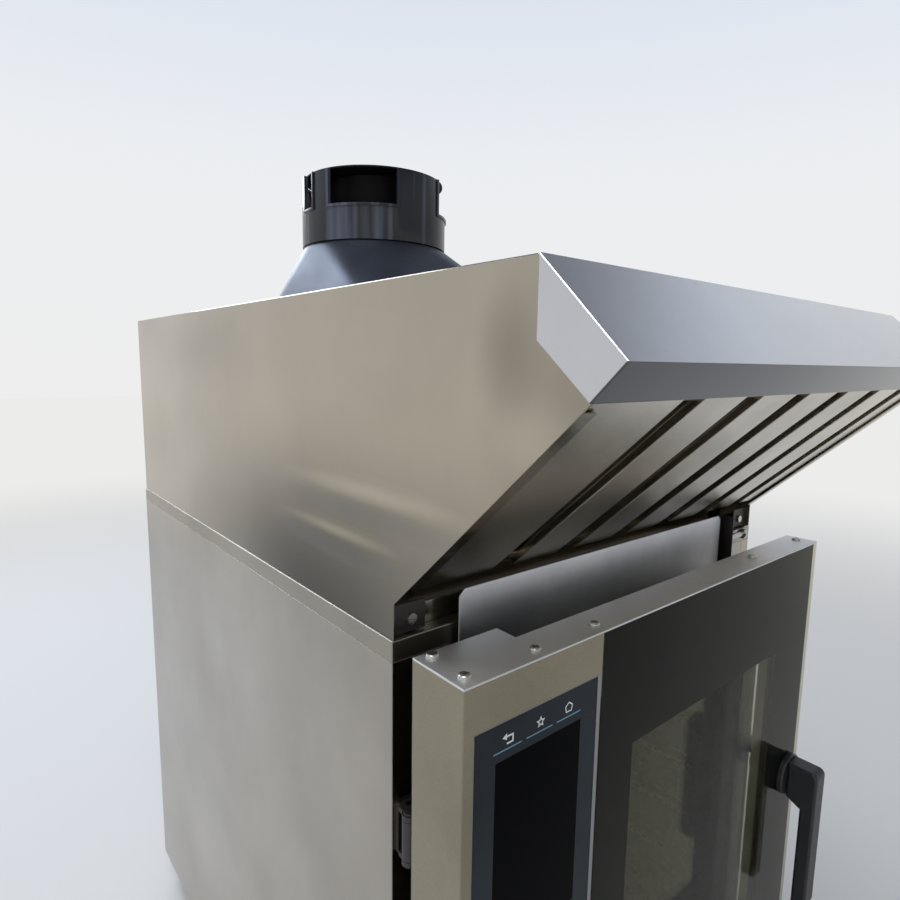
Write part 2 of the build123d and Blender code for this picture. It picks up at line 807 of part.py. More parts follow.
with BuildPart() as cable_gland:
    with BuildSketch(facing(back + 6)):
        with Locations((gland_x, service_z)):
            RegularPolygon(17, 6)
    extrude(amount=6)
    with BuildSketch(facing(back)):
        with Locations((gland_x, service_z)):
            Circle(gland_radius)
    extrude(amount=casing_sheet + 10)
    with BuildSketch(facing(back + 6)):
        with Locations((gland_x, service_z)):
            Circle(14)
    extrude(amount=-16)
    fillet(cable_gland.faces().sort_by(Axis.Y)[-1].edges(), radius=4)
    with BuildSketch(facing(back + 22)):
        with Locations((gland_x, service_z)):
            Circle(7)
    extrude(amount=40, mode=Mode.SUBTRACT)
cable_gland.part.label = "cable_gland"
export_step(cable_gland.part, "parts/cable_gland.step")

# Feet: rubber pads on threaded stems with lock nuts
with BuildPart() as foot_pads:
    with BuildSketch(Plane.XY):
        with GridLocations(2 * foot_x, 2 * foot_y, 2, 2):
            Circle(foot_radius)
    extrude(amount=foot_pad, taper=6)
foot_pads.part.label = "foot_pads"
export_step(foot_pads.part, "parts/foot_pads.step")

with BuildPart() as foot_stems:
    with BuildSketch(plan(foot_pad)):
        with GridLocations(2 * foot_x, 2 * foot_y, 2, 2):
            Circle(stem_radius)
    extrude(amount=floor_z + stem_reach - foot_pad)
    with BuildSketch(plan(foot_pad)):
        with GridLocations(2 * foot_x, 2 * foot_y, 2, 2):
            Circle(foot_radius - 7)
    extrude(amount=4)
    with BuildSketch(plan(floor_z)):
        with GridLocations(2 * foot_x, 2 * foot_y, 2, 2):
            RegularPolygon(2 * stem_radius, 6)
    extrude(amount=-6)
foot_stems.part.label = "foot_stems"
export_step(foot_stems.part, "parts/foot_stems.step")

# Door hinges: brackets with fixed pins on the casing, leaves on the door
bracket_plate = 3.0
bracket_from_left = 4.0
bracket_width = 30.0
leaf_from_left = 4.0
leaf_width = 38.0
leaf_thickness = 3.0
knuckle_gap = 0.4
with BuildPart() as hinge_brackets:
    for z in hinge_heights:
        with BuildSketch(facing(front)):
            with Locations((left + bracket_from_left + bracket_width / 2, z)):
                RectangleRounded(bracket_width, hinge_height, 3)
        extrude(amount=bracket_plate)
        for ear_z in (z - hinge_height / 2, z + hinge_height / 2 - ear_thickness):
            with BuildSketch(plan(ear_z)):
                with Locations((hinge_x, hinge_y)):
                    Circle(knuckle_radius)
                with Locations((hinge_x, (hinge_y + front - bracket_plate) / 2)):
                    Rectangle(2 * (hinge_from_left - bracket_from_left), hinge_from_front - bracket_plate)
            extrude(amount=ear_thickness)
        with BuildSketch(plan(z - hinge_height / 2)):
            with Locations((hinge_x, hinge_y)):
                Circle(hinge_pin_radius)
        extrude(amount=hinge_height)
        with BuildSketch(plan(z + hinge_height / 2)):
            with Locations((hinge_x, hinge_y)):
                Circle(hinge_pin_radius + 1.5)
        extrude(amount=2)
hinge_brackets.part.label = "hinge_brackets"
export_step(hinge_brackets.part, "parts/hinge_brackets.step")

with BuildPart() as hinge_leaves:
    leaf_height = hinge_height - 2 * ear_thickness - 2 * knuckle_gap
    for z in hinge_heights:
        with BuildSketch(plan(z - leaf_height / 2)):
            with Locations((hinge_x, hinge_y)):
                Circle(knuckle_radius)
            with Locations((hinge_x, (hinge_y + box_back + leaf_thickness) / 2)):
                Rectangle(knuckle_radius, hinge_y - box_back - leaf_thickness)
            with Locations((left + leaf_from_left + leaf_width / 2, box_back + leaf_thickness / 2)):
                Rectangle(leaf_width, leaf_thickness)
            with Locations((hinge_x, hinge_y)):
                Circle(hinge_pin_radius + running_clearance, mode=Mode.SUBTRACT)
        extrude(amount=leaf_height)
hinge_leaves.part.label = "hinge_leaves"
export_step(hinge_leaves.part, "parts/hinge_leaves.step")

# Control box and stainless front column of the door, one folded shell
display_left = left + display_from_left
display_right = column_right - door_sheet - seam
display_width = display_right - display_left
display_x = (display_left + display_right) / 2
display_z = door_top + door_top_drop - display_top_drop - display_height / 2
shell_bottom = door_bottom + plate_thickness
shell_height = door_top - plate_thickness - shell_bottom
with BuildPart() as control_box:
    with BuildSketch(plan(shell_bottom)):
        outline(
            (left, door_front),
            (column_right, door_front),
            (column_right, door_back),
            (left + box_width, door_back),
            (left + box_width, box_back),
            (left, box_back),
        )
        offset(amount=-door_sheet, kind=Kind.INTERSECTION, mode=Mode.SUBTRACT)
    extrude(amount=shell_height)
    fold_edges = control_box.edges().filter_by(Axis.Z).filter_by(
        lambda edge: edge.center().Y < door_front + seam
    )
    fillet(fold_edges, radius=fold_radius)
    with BuildSketch(facing(door_front + door_sheet)):
        with Locations((display_x, display_z)):
            Rectangle(display_width, display_height)
    extrude(amount=door_sheet, mode=Mode.SUBTRACT)
control_box.part.label = "control_box"
export_step(control_box.part, "parts/control_box.step")

# Display: bevelled bezel, glass, screen and control board
with BuildPart() as display_bezel:
    with BuildSketch(facing(door_front + bezel_depth)):
        with Locations((display_x, display_z)):
            Rectangle(display_width, display_height)
            Rectangle(display_width - 2 * bezel_width, display_height - 2 * bezel_width, mode=Mode.SUBTRACT)
    extrude(amount=bezel_depth)
    inner_edges = display_bezel.faces().sort_by(Axis.Y)[0].inner_wires()[0].edges()
    chamfer(inner_edges, length=bezel_width - 0.4)
display_bezel.part.label = "display_bezel"
export_step(display_bezel.part, "parts/display_bezel.step")

glass_recess = 1.6
with BuildPart() as display_glass:
    with BuildSketch(facing(door_front + bezel_depth)):
        with Locations((display_x, display_z)):
            Rectangle(display_width - 2 * bezel_width, display_height - 2 * bezel_width)
    extrude(amount=bezel_depth - glass_recess)
display_glass.part.label = "display_glass"
export_step(display_glass.part, "parts/display_glass.step")

screen_depth = 8.0
board_thickness = 1.6
board_width = 110.0
board_height = 200.0
chip_rise = 7.0
with BuildPart() as display_module:
    with BuildSketch(facing(door_front + bezel_depth + screen_depth)):
        with Locations((display_x, display_z + 10)):
            RectangleRounded(screen_width, screen_height, 3)
    extrude(amount=screen_depth)
    with BuildSketch(facing(door_front + bezel_depth + screen_depth + board_thickness)):
        with Locations((display_x, display_z)):
            RectangleRounded(board_width, board_height, 3)
    extrude(amount=board_thickness)
    with BuildSketch(facing(door_front + bezel_depth + screen_depth + board_thickness)):
        with Locations((display_x, display_z - 50)):
            with GridLocations(36, 44, 2, 2):
                Rectangle(22, 28)
    extrude(amount=-chip_rise)
display_module.part.label = "display_module"
export_step(display_module.part, "parts/display_module.step")

# Top and bottom plates of the door
plate_points = (
    (left, door_front),
    (right, door_front),
    (right, door_back),
    (left + box_width, door_back),
    (left + box_width, box_back),
    (left, box_back),
)
screw_places = (
    (left + 12, front - 31),
    (left + 11, front - 66),
    (left + 75, front - 67),
    (left + 142, front - 66),
    (right - 120, front - 60),
    (right - 12, front - 60),
)
screw_shank = 2.0
screw_head = 4.6
screw_rise = 2.4
with BuildPart() as door_end_plates:
    with BuildSketch(plan(door_top - plate_thickness)):
        outline(*plate_points)
        with Locations(*screw_places):
            Circle(screw_shank, mode=Mode.SUBTRACT)
    extrude(amount=plate_thickness)
    with BuildSketch(plan(door_bottom)):
        outline(*plate_points)
    extrude(amount=plate_thickness)
door_end_plates.part.label = "door_end_plates"
export_step(door_end_plates.part, "parts/door_end_plates.step")

with BuildPart() as door_screws:
    with BuildSketch(plan(door_top)):
        with Locations(*screw_places):
            Circle(screw_head)
    extrude(amount=screw_rise)
    fillet(door_screws.faces().filter_by(Axis.Z).group_by(Axis.Z)[-1].edges(), radius=1.6)
    with BuildSketch(plan(door_top + screw_rise)):
        with Locations(*screw_places):
            Rectangle(4.4, 0.9)
            Rectangle(0.9, 4.4)
    extrude(amount=-1.2, mode=Mode.SUBTRACT)
    with BuildSketch(plan(door_top)):
        with Locations(*screw_places):
            Circle(screw_shank)
    extrude(amount=-plate_thickness)
door_screws.part.label = "door_screws"
export_step(door_screws.part, "parts/door_screws.step")

# Outer glass of the door
glass_left = column_right + glass_seat
glass_bottom = shell_bottom + glass_seat
glass_top = door_top - plate_thickness - glass_seat
with BuildPart() as outer_glass:
    with BuildSketch(facing(door_front + outer_glass_thickness)):
        with Locations(((glass_left + right) / 2, (glass_bottom + glass_top) / 2)):
            Rectangle(right - glass_left, glass_top - glass_bottom)
        with Locations((handle_x, handle_z)):
            Circle(spindle_radius + 1, mode=Mode.SUBTRACT)
    extrude(amount=outer_glass_thickness)
outer_glass.part.label = "outer_glass"
export_step(outer_glass.part, "parts/outer_glass.step")

# Door frame, a hollow channel behind the outer glass, closed by a welded back sheet
frame_front = door_front + outer_glass_thickness + glass_seat
frame_left = column_right + seam
frame_x = (frame_left + right) / 2
frame_z = shell_bottom + shell_height / 2
frame_width = right - frame_left
frame_back = door_back - door_sheet
with BuildPart() as door_frame:
    with BuildSketch(facing(frame_back)):
        with Locations((frame_x, frame_z)):
            Rectangle(frame_width, shell_height)
            Rectangle(frame_width - 2 * frame_bar, shell_height - 2 * frame_bar, mode=Mode.SUBTRACT)
    extrude(amount=frame_back - frame_front)
    with BuildSketch(facing(frame_back)):
        with Locations((frame_x, frame_z)):
            Rectangle(frame_width - 2 * door_sheet, shell_height - 2 * door_sheet)
            wall = 2 * (frame_bar - door_sheet)
            Rectangle(frame_width - wall, shell_height - wall, mode=Mode.SUBTRACT)
    extrude(amount=frame_back - frame_front - door_sheet, mode=Mode.SUBTRACT)
    with BuildSketch(facing(frame_back)):
        with Locations((handle_x, handle_z)):
            Circle(spindle_radius + 1)
    extrude(amount=frame_back - frame_front, mode=Mode.SUBTRACT)
    with BuildSketch(facing(door_back)):
        with Locations((frame_x, frame_z)):
            Rectangle(frame_width, shell_height)
            RectangleRounded(
                frame_width - 2 * frame_bar, shell_height - 2 * frame_bar, cavity_corner, mode=Mode.SUBTRACT
            )
        with Locations((handle_x, handle_z)):
            Circle(spindle_radius + running_clearance, mode=Mode.SUBTRACT)
    extrude(amount=door_sheet)
door_frame.part.label = "door_frame"
export_step(door_frame.part, "parts/door_frame.step")

# Inner glass, held off the door by clips
inner_width = cavity_width + 2 * inner_glass_overlap
inner_height = cavity_height + 2 * inner_glass_overlap
inner_back = gasket_front - glass_seat
inner_front = inner_back - inner_glass_thickness
with BuildPart() as inner_glass:
    with BuildSketch(facing(inner_back)):
        with Locations((cavity_x, cavity_z)):
            RectangleRounded(inner_width, inner_height, 12)
    extrude(amount=inner_glass_thickness)
inner_glass.part.label = "inner_glass"
export_step(inner_glass.part, "parts/inner_glass.step")

clip_width = 40.0
clip_reach = 18.0
with BuildPart() as glass_clips:
    for edge_z, outwards in ((cavity_z + inner_height / 2, 1), (cavity_z - inner_height / 2, -1)):
        for clip_x in (cavity_x - inner_width / 3, cavity_x + inner_width / 3):
            with BuildSketch(sideways(clip_x - clip_width / 2)):
                outline(
                    (door_back, edge_z - outwards * clip_reach),
                    (inner_front, edge_z - outwards * clip_reach),
                    (inner_front, edge_z),
                    (inner_back, edge_z),
                    (inner_back, edge_z + outwards * 3),
                    (door_back, edge_z + outwards * 3),
                )
            extrude(amount=clip_width)
glass_clips.part.label = "glass_clips"
export_step(glass_clips.part, "parts/glass_clips.step")

# Lamp strips between the panes
lamp_length = 380.0
with BuildPart() as lamp_strips:
    for lamp_x in (frame_left + frame_bar + 5, right - frame_bar - 5):
        with BuildSketch(facing(frame_back)):
            with Locations((lamp_x, cavity_z)):
                Rectangle(10, lamp_length)
        extrude(amount=10)
lamp_strips.part.label = "lamp_strips"
export_step(lamp_strips.part, "parts/lamp_strips.step")

# Handle: boss on the glass, lever, spindle and latch cam
boss_front = door_front - boss_thickness
with BuildPart() as handle_boss:
    with BuildSketch(facing(door_front)):
        with Locations((handle_x, handle_z)):
            Circle(hub_radius + 4)
            Circle(spindle_radius + running_clearance, mode=Mode.SUBTRACT)
    extrude(amount=boss_thickness)
    fillet(handle_boss.faces().sort_by(Axis.Y)[0].outer_wire().edges(), radius=2)
handle_boss.part.label = "handle_boss"
export_step(handle_boss.part, "parts/handle_boss.step")

lever_back = door_front - finger_gap
lever_front = lever_back - grip_thickness
hub_back = boss_front - glass_seat
with BuildPart() as handle_lever:
    with BuildSketch(sideways(handle_x)):
        outline(
            (lever_front, handle_z + hub_radius),
            (hub_back, handle_z + hub_radius),
            (hub_back, handle_z - hub_radius),
            (lever_back, handle_z - hub_radius - 8),
            (lever_back, handle_z - handle_length),
            (lever_front, handle_z - handle_length),
        )
    extrude(amount=handle_width / 2, both=True)
    fillet(handle_lever.edges().filter_by(Axis.X).sort_by(Axis.Y)[0:2], radius=7)
    fillet(handle_lever.edges().filter_by(Axis.Z), radius=3)
    with BuildSketch(facing(hub_back)):
        with Locations((handle_x, handle_z)):
            Circle(spindle_radius)
    extrude(amount=12, mode=Mode.SUBTRACT)
handle_lever.part.label = "handle_lever"
export_step(handle_lever.part, "parts/handle_lever.step")

cam_back = door_back + 0.5 + cam_thickness
nose_end = front - 10
nose_width = 8.0
nose_height = 14.0
with BuildPart() as latch_cam:
    with BuildSketch(facing(cam_back)):
        with Locations((handle_x, handle_z)):
            Circle(spindle_radius)
    extrude(amount=cam_back - hub_back + 12)
    with BuildSketch(facing(cam_back)):
        with Locations((handle_x, handle_z)):
            Circle(2 * spindle_radius)
        with Locations((handle_x + nose_radius / 2, handle_z)):
            Rectangle(nose_radius + nose_width, nose_height)
    extrude(amount=cam_thickness)
    with BuildSketch(facing(nose_end)):
        with Locations((handle_x + nose_radius, handle_z)):
            Rectangle(nose_width, nose_height)
    extrude(amount=nose_end - cam_back)
latch_cam.part.label = "latch_cam"
export_step(latch_cam.part, "parts/latch_cam.step")

# Striker on the casing, over the nose of the latch
striker_x = handle_x + nose_radius
striker_foot = handle_z + nose_height / 2 + 0.5
striker_plate = 3.0
striker_height = 34.0
striker_width = 12.0
tongue_reach = 26.0
tongue_top = striker_foot + 10
lip_back = front - tongue_reach + 4
with BuildPart() as door_striker:
    with BuildSketch(sideways(striker_x - striker_width / 2)):
        outline(
            (front, striker_foot),
            (front, striker_foot + striker_height),
            (front - striker_plate, striker_foot + striker_height),
            (front - striker_plate, tongue_top),
            (front - tongue_reach, tongue_top),
            (front - tongue_reach, striker_foot),
            (lip_back, striker_foot),
            (lip_back, tongue_top - 4),
            (front - striker_plate, tongue_top - 4),
            (front - striker_plate, striker_foot),
        )
    extrude(amount=striker_width)
door_striker.part.label = "door_striker"
export_step(door_striker.part, "parts/door_striker.step")

# Drip tray under the door, on two rails
tray_margin = 70.0
tray_depth = 50.0
tray_height = 22.0
tray_sheet = 1.2
tray_z = floor_z + 5
tray_back = front - 1.5
runner_height = 6.0
runner_z = tray_z + 10
runner_reach = 5.0
slide_clearance = 0.3
with BuildPart() as drip_tray:
    with BuildSketch(plan(tray_z)):
        with Locations((0, tray_back - tray_depth / 2)):
            Rectangle(casing_width - 2 * tray_margin, tray_depth)
    extrude(amount=tray_height)
    with BuildSketch(plan(tray_z + tray_sheet)):
        with Locations((0, tray_back - tray_depth / 2)):
            Rectangle(casing_width - 2 * tray_margin - 2 * tray_sheet, tray_depth - 2 * tray_sheet)
    extrude(amount=tray_height, mode=Mode.SUBTRACT)
    for edge_x, outwards in ((left + tray_margin, -1), (right - tray_margin, 1)):
        with BuildSketch(sideways(edge_x)):
            with Locations((tray_back - tray_depth / 2, runner_z)):
                Rectangle(tray_depth, tray_sheet)
        extrude(amount=outwards * runner_reach)
drip_tray.part.label = "drip_tray"
export_step(drip_tray.part, "parts/drip_tray.step")

with BuildPart() as tray_rails:
    for edge_x, outwards in ((left + tray_margin, -1), (right - tray_margin, 1)):
        groove = tray_sheet / 2 + slide_clearance
        near = edge_x + outwards * slide_clearance
        floor_of_groove = edge_x + outwards * (runner_reach + slide_clearance)
        far = floor_of_groove + outwards * 2
        with BuildSketch(facing(front)):
            outline(
                (near, runner_z - runner_height),
                (far, runner_z - runner_height),
                (far, runner_z + runner_height),
                (near, runner_z + runner_height),
                (near, runner_z + groove),
                (floor_of_groove, runner_z + groove),
                (floor_of_groove, runner_z - groove),
                (near, runner_z - groove),
            )
        extrude(amount=tray_depth)
tray_rails.part.label = "tray_rails"
export_step(tray_rails.part, "parts/tray_rails.step")


def visor_outline(inset):
    """Side profile of the bent visor sheet, from its top edge round the lip."""
    angle_ab = atan2(visor_a[1] - visor_b[1], visor_a[0] - visor_b[0])
    thick = hood_sheet + inset
    inner_b = (visor_b[0] + thick * 1.414, visor_b[1])
    inner_a = (visor_a[0] + thick * sin(angle_ab), visor_a[1] - thick * cos(angle_ab))
    inner_c = (visor_c[0] + thick, visor_c[1] + thick)
    return visor_a, visor_b, visor_c, inner_c, inner_b, inner_a


# Bent visor at the front of the hood, with cheeks that lap over the side panels
with BuildPart() as hood_visor:
    with BuildSketch(sideways(left + 0.3)):
        outline(*visor_outline(0))
    extrude(amount=casing_width - 0.6)
    for cheek_x in (left + 0.3, hood_right):
        with BuildSketch(sideways(cheek_x)):
            outline(visor_a, visor_b, visor_c, cheek_d)
        extrude(amount=hood_inset - 0.3)
    front_edges = hood_visor.edges().filter_by(
        lambda edge: edge.center().Y < cheek_d[0] - 5 and abs(edge.center().X) > right - 0.5
    ).filter_by(GeomType.LINE)
    lip_edges = front_edges.filter_by(lambda edge: edge.length > 25 and edge.center().Y < visor_c[0] + 12)
    fillet(lip_edges, radius=fold_radius)
hood_visor.part.label = "hood_visor"
export_step(hood_visor.part, "parts/hood_visor.step")


def hood_side(outer, inwards):
    """A side panel of the hood, with a flange along its sloping edge and one along its foot."""
    flange_end = slope_length - 8
    with BuildPart() as panel:
        with BuildSketch(sideways(outer)):
            outline(
                (back, top_z),
                (back, hood_top),
                visor_a,
                visor_b,
                visor_c,
                slope_foot,
                (front, top_z),
            )
        extrude(amount=inwards * hood_sheet)
        top_edges = panel.edges().filter_by(Axis.Y).filter_by(
            lambda edge: edge.center().Z > hood_top - seam and abs(edge.center().X - outer) < seam
        )
        fillet(top_edges, radius=fold_radius)
        with BuildSketch(sideways(outer)):
            outline(*visor_outline(seam))
        extrude(amount=inwards * hood_sheet, mode=Mode.SUBTRACT)
        with BuildSketch(sideways(outer)):
            outline(
                slope_point(0, 0),
                slope_point(flange_end, 0),
                slope_point(flange_end, -hood_sheet),
                slope_point(0, -hood_sheet),
            )
        extrude(amount=inwards * slope_flange)
        with BuildSketch(sideways(outer)):
            with Locations((0, top_z + hood_sheet / 2)):
                Rectangle(casing_depth, hood_sheet)
        extrude(amount=inwards * slope_flange)
    return panel


hood_side_left = hood_side(hood_left, 1)
hood_side_left.part.label = "hood_side_left"
export_step(hood_side_left.part, "parts/hood_side_left.step")
hood_side_right = hood_side(hood_right, -1)
hood_side_right.part.label = "hood_side_right"
export_step(hood_side_right.part, "parts/hood_side_right.step")

# Top and back of the hood
hood_span = casing_width - 2 * (hood_inset + hood_sheet)
roof_front = visor_a[0] + 2
with BuildPart() as hood_roof:
    with BuildSketch(plan(hood_top - hood_sheet)):
        with Locations((0, (roof_front + back) / 2)):
            Rectangle(hood_span, back - roof_front)
        with Locations((chimney_x, chimney_y)):
            Circle(chimney_radius - chimney_wall, mode=Mode.SUBTRACT)
    extrude(amount=hood_sheet)
hood_roof.part.label = "hood_roof"
export_step(hood_roof.part, "parts/hood_roof.step")

with BuildPart() as hood_back:
    with BuildSketch(facing(back)):
        with Locations((0, (top_z + hood_top - hood_sheet) / 2 + hood_sheet / 2)):
            Rectangle(hood_span, hood_height - 2 * hood_sheet)
    extrude(amount=hood_sheet)
hood_back.part.label = "hood_back"
export_step(hood_back.part, "parts/hood_back.step")

# Grease filter: folded strips in front, baffle strips behind their gaps
filter_left = hood_left + hood_sheet + 1
filter_right = hood_right - hood_sheet - 1
filter_out = -hood_sheet - filter_seat
gap_starts = [left + first_gap + gap_pitch * k for k in range(gap_count)]
strip_edges = [filter_left] + [x for start in gap_starts for x in (start, start + gap_width)] + [filter_right]
strips = list(zip(strip_edges[0::2], strip_edges[1::2]))
with BuildPart() as grease_filter:
    rail_depth = strip_fold - 1
    for along in (filter_foot, filter_foot + filter_length - filter_edge):
        with BuildSketch(slope_plane(along).offset(filter_out - rail_depth)):
            with Locations(((filter_left + filter_right) / 2, filter_edge / 2)):
                Rectangle(filter_right - filter_left, filter_edge)
        extrude(amount=rail_depth - filter_depth)
    run_start = slope_plane(filter_foot).offset(filter_out)
    section = Plane(origin=run_start.origin, x_dir=run_start.x_dir, z_dir=-run_start.y_dir)
    for strip_start, strip_end in strips:
        with BuildSketch(section):
            outline(
                (strip_start, 0),
                (strip_end, 0),
                (strip_end, -strip_fold),
                (strip_end - hood_sheet, -strip_fold),
                (strip_end - hood_sheet, -hood_sheet),
                (strip_start + hood_sheet, -hood_sheet),
                (strip_start + hood_sheet, -strip_fold),
                (strip_start, -strip_fold),
            )
        extrude(amount=-filter_length)
    for gap_start in gap_starts:
        lap = 8.0
        with BuildSketch(section):
            outline(
                (gap_start - lap, -filter_depth),
                (gap_start + gap_width + lap, -filter_depth),
                (gap_start + gap_width + lap, -filter_depth + strip_fold),
                (gap_start + gap_width + lap - hood_sheet, -filter_depth + strip_fold),
                (gap_start + gap_width + lap - hood_sheet, -filter_depth + hood_sheet),
                (gap_start - lap + hood_sheet, -filter_depth + hood_sheet),
                (gap_start - lap + hood_sheet, -filter_depth + strip_fold),
                (gap_start - lap, -filter_depth + strip_fold),
            )
        extrude(amount=-filter_length)
grease_filter.part.label = "grease_filter"
export_step(grease_filter.part, "parts/grease_filter.step")

# Steam deflector that stands in the gap behind the door's top
deflector_left_margin = 57.0
deflector_right_margin = 87.0
deflector_gap = 5.0
deflector_drop = 45.0
deflector_flange = 14.0
deflector_left = left + deflector_left_margin
deflector_right = right - deflector_right_margin
deflector_foot = top_z - deflector_drop
with BuildPart() as steam_deflector:
    with BuildSketch(sideways(deflector_left)):
        outline(
            (front - deflector_gap - hood_sheet, deflector_foot),
            (front - deflector_gap - hood_sheet, top_z + sill_height),
            (front - deflector_gap, top_z + sill_height),
            (front - deflector_gap, deflector_foot + hood_sheet),
            (front, deflector_foot + hood_sheet),
            (front, deflector_foot - deflector_flange),
            (front - hood_sheet, deflector_foot - deflector_flange),
            (front - hood_sheet, deflector_foot),
        )
    extrude(amount=deflector_right - deflector_left)
    top_corners = steam_deflector.edges().filter_by(Axis.Y).group_by(Axis.Z)[-1]
    chamfer(top_corners, length=5)
steam_deflector.part.label = "steam_deflector"
export_step(steam_deflector.part, "parts/steam_deflector.step")

# Gutter under the filter's lower edge
gutter_depth = 34.0
gutter_height = 17.0
with BuildPart() as condensate_gutter:
    with BuildSketch(sideways(hood_left + hood_sheet + slope_flange + 2)):
        gutter_front = front + 12
        gutter_back = gutter_front + gutter_depth
        outline(
            (gutter_front, top_z),
            (gutter_back, top_z),
            (gutter_back, top_z + gutter_height),
            (gutter_back - hood_sheet, top_z + gutter_height),
            (gutter_back - hood_sheet, top_z + hood_sheet),
            (gutter_front + hood_sheet, top_z + hood_sheet),
            (gutter_front + hood_sheet, top_z + gutter_height),
            (gutter_front, top_z + gutter_height),
        )
    extrude(amount=hood_span - 2 * slope_flange - 4)
condensate_gutter.part.label = "condensate_gutter"
export_step(condensate_gutter.part, "parts/condensate_gutter.step")

# Brackets that fix the hood at the front corners, and the tab beside the deflector
bracket_span = 30.0
bracket_rise = 22.0
fixing_y = front + 6
tab_width = 12.0
tab_height = 74.0
tab_x = deflector_right + 2 + tab_width / 2
tab_z = top_z - 12
bolt_x = tab_x + tab_width / 2
tab_flange = 14.0
bolt_y = front - 9
bolt_z = top_z - 2
bolt_length = 40.0
bolt_radius = 3.2
bolt_head = 6.0
with BuildPart() as hood_brackets:
    for corner_x, inwards in ((hood_left + hood_sheet, 1), (hood_right - hood_sheet, -1)):
        low, high = sorted((corner_x, corner_x + inwards * bracket_span))
        with BuildSketch(facing(fixing_y)):
            with Locations(((low + high) / 2, top_z + hood_sheet + bracket_rise / 2)):
                Rectangle(high - low, bracket_rise)
        extrude(amount=hood_sheet)
    with BuildSketch(facing(front)):
        with Locations((tab_x, tab_z)):
            RectangleRounded(tab_width, tab_height, 2)
    extrude(amount=hood_sheet)
    with BuildSketch(facing(front - hood_sheet)):
        with Locations((bolt_x - hood_sheet / 2, tab_z)):
            Rectangle(hood_sheet, tab_height)
    extrude(amount=tab_flange)
hood_brackets.part.label = "hood_brackets"
export_step(hood_brackets.part, "parts/hood_brackets.step")

# Hood fan: hanging cradle, motor and wheel under the chimney
cradle_drop = 150.0
cradle_width = 190.0
cradle_strip = 30.0
hood_motor_radius = 42.0
hood_motor_height = 46.0
hood_fan_radius = 66.0
hood_fan_height = 40.0
hood_shaft_radius = 4.0
cradle_z = hood_top - hood_sheet - cradle_drop
with BuildPart() as fan_cradle:
    with BuildSketch(facing(chimney_y + cradle_strip / 2)):
        half = cradle_width / 2
        outline(
            (chimney_x - half, hood_top - hood_sheet),
            (chimney_x - half + 2, hood_top - hood_sheet),
            (chimney_x - half + 2, cradle_z + 2),
            (chimney_x + half - 2, cradle_z + 2),
            (chimney_x + half - 2, hood_top - hood_sheet),
            (chimney_x + half, hood_top - hood_sheet),
            (chimney_x + half, cradle_z),
            (chimney_x - half, cradle_z),
        )
    extrude(amount=cradle_strip)
fan_cradle.part.label = "fan_cradle"
export_step(fan_cradle.part, "parts/fan_cradle.step")

motor_top = cradle_z + 2 + hood_motor_height
with BuildPart() as hood_motor:
    with BuildSketch(plan(cradle_z + 2)):
        with Locations((chimney_x, chimney_y)):
            Circle(hood_motor_radius)
    extrude(amount=hood_motor_height)
    fillet(hood_motor.edges().group_by(Axis.Z)[-1], radius=5)
    with BuildSketch(plan(cradle_z + 12)):
        with Locations((chimney_x, chimney_y)):
            Circle(hood_shaft_radius + running_clearance)
    extrude(amount=hood_motor_height, mode=Mode.SUBTRACT)
hood_motor.part.label = "hood_motor"
export_step(hood_motor.part, "parts/hood_motor.step")

hood_wheel_foot = motor_top + 6
with BuildPart() as hood_fan_wheel:
    with BuildSketch(plan(hood_wheel_foot)):
        with Locations((chimney_x, chimney_y)):
            Circle(hood_fan_radius)
    extrude(amount=2)
    with BuildSketch(plan(hood_wheel_foot + 2)):
        with Locations((chimney_x, chimney_y)):
            with PolarLocations(0.84 * hood_fan_radius, 16):
                Rectangle(16, 1.5, rotation=35)
    extrude(amount=hood_fan_height)
    with BuildSketch(plan(hood_wheel_foot + 2 + hood_fan_height)):
        with Locations((chimney_x, chimney_y)):
            Circle(hood_fan_radius)
            Circle(0.72 * hood_fan_radius, mode=Mode.SUBTRACT)
    extrude(amount=1.5)
    with BuildSketch(plan(hood_wheel_foot)):
        with Locations((chimney_x, chimney_y)):
            Circle(14)
    extrude(amount=20)
    with BuildSketch(plan(cradle_z + 13)):
        with Locations((chimney_x, chimney_y)):
            Circle(hood_shaft_radius)
    extrude(amount=hood_wheel_foot - cradle_z - 13)
hood_fan_wheel.part.label = "hood_fan_wheel"
export_step(hood_fan_wheel.part, "parts/hood_fan_wheel.step")


def round_square(radius):
    """A circle in all but name, with the eight edges that a rounded rectangle has."""
    RectangleRounded(2 * radius, 2 * radius, radius - 0.05)


# Chimney: flared foot, ring with a windowed neck, and cap
with BuildPart() as chimney_foot:
    with BuildSketch(plan(hood_top)):
        foot_centre_x = chimney_x + (flare_right - flare_left) / 2
        foot_centre_y = chimney_y + (flare_back - flare_front) / 2
        with Locations((foot_centre_x, foot_centre_y)):
            RectangleRounded(flare_left + flare_right, flare_front + flare_back, flare_corner)
    with BuildSketch(plan(hood_top + flare_height)):
        with Locations((chimney_x, chimney_y)):
            round_square(chimney_radius - 2)
    loft()
    with BuildSketch(plan(hood_top)):
        with Locations((foot_centre_x, foot_centre_y)):
            RectangleRounded(
                flare_left + flare_right - 2 * chimney_wall,
                flare_front + flare_back - 2 * chimney_wall,
                flare_corner - chimney_wall,
            )
    with BuildSketch(plan(hood_top + flare_height)):
        with Locations((chimney_x, chimney_y)):
            round_square(chimney_radius - 2 - chimney_wall)
    loft(mode=Mode.SUBTRACT)
chimney_foot.part.label = "chimney_foot"
export_step(chimney_foot.part, "parts/chimney_foot.step")

ring_foot = hood_top + flare_height
neck_radius = chimney_radius - neck_inset
neck_top = ring_foot + window_sill + window_height


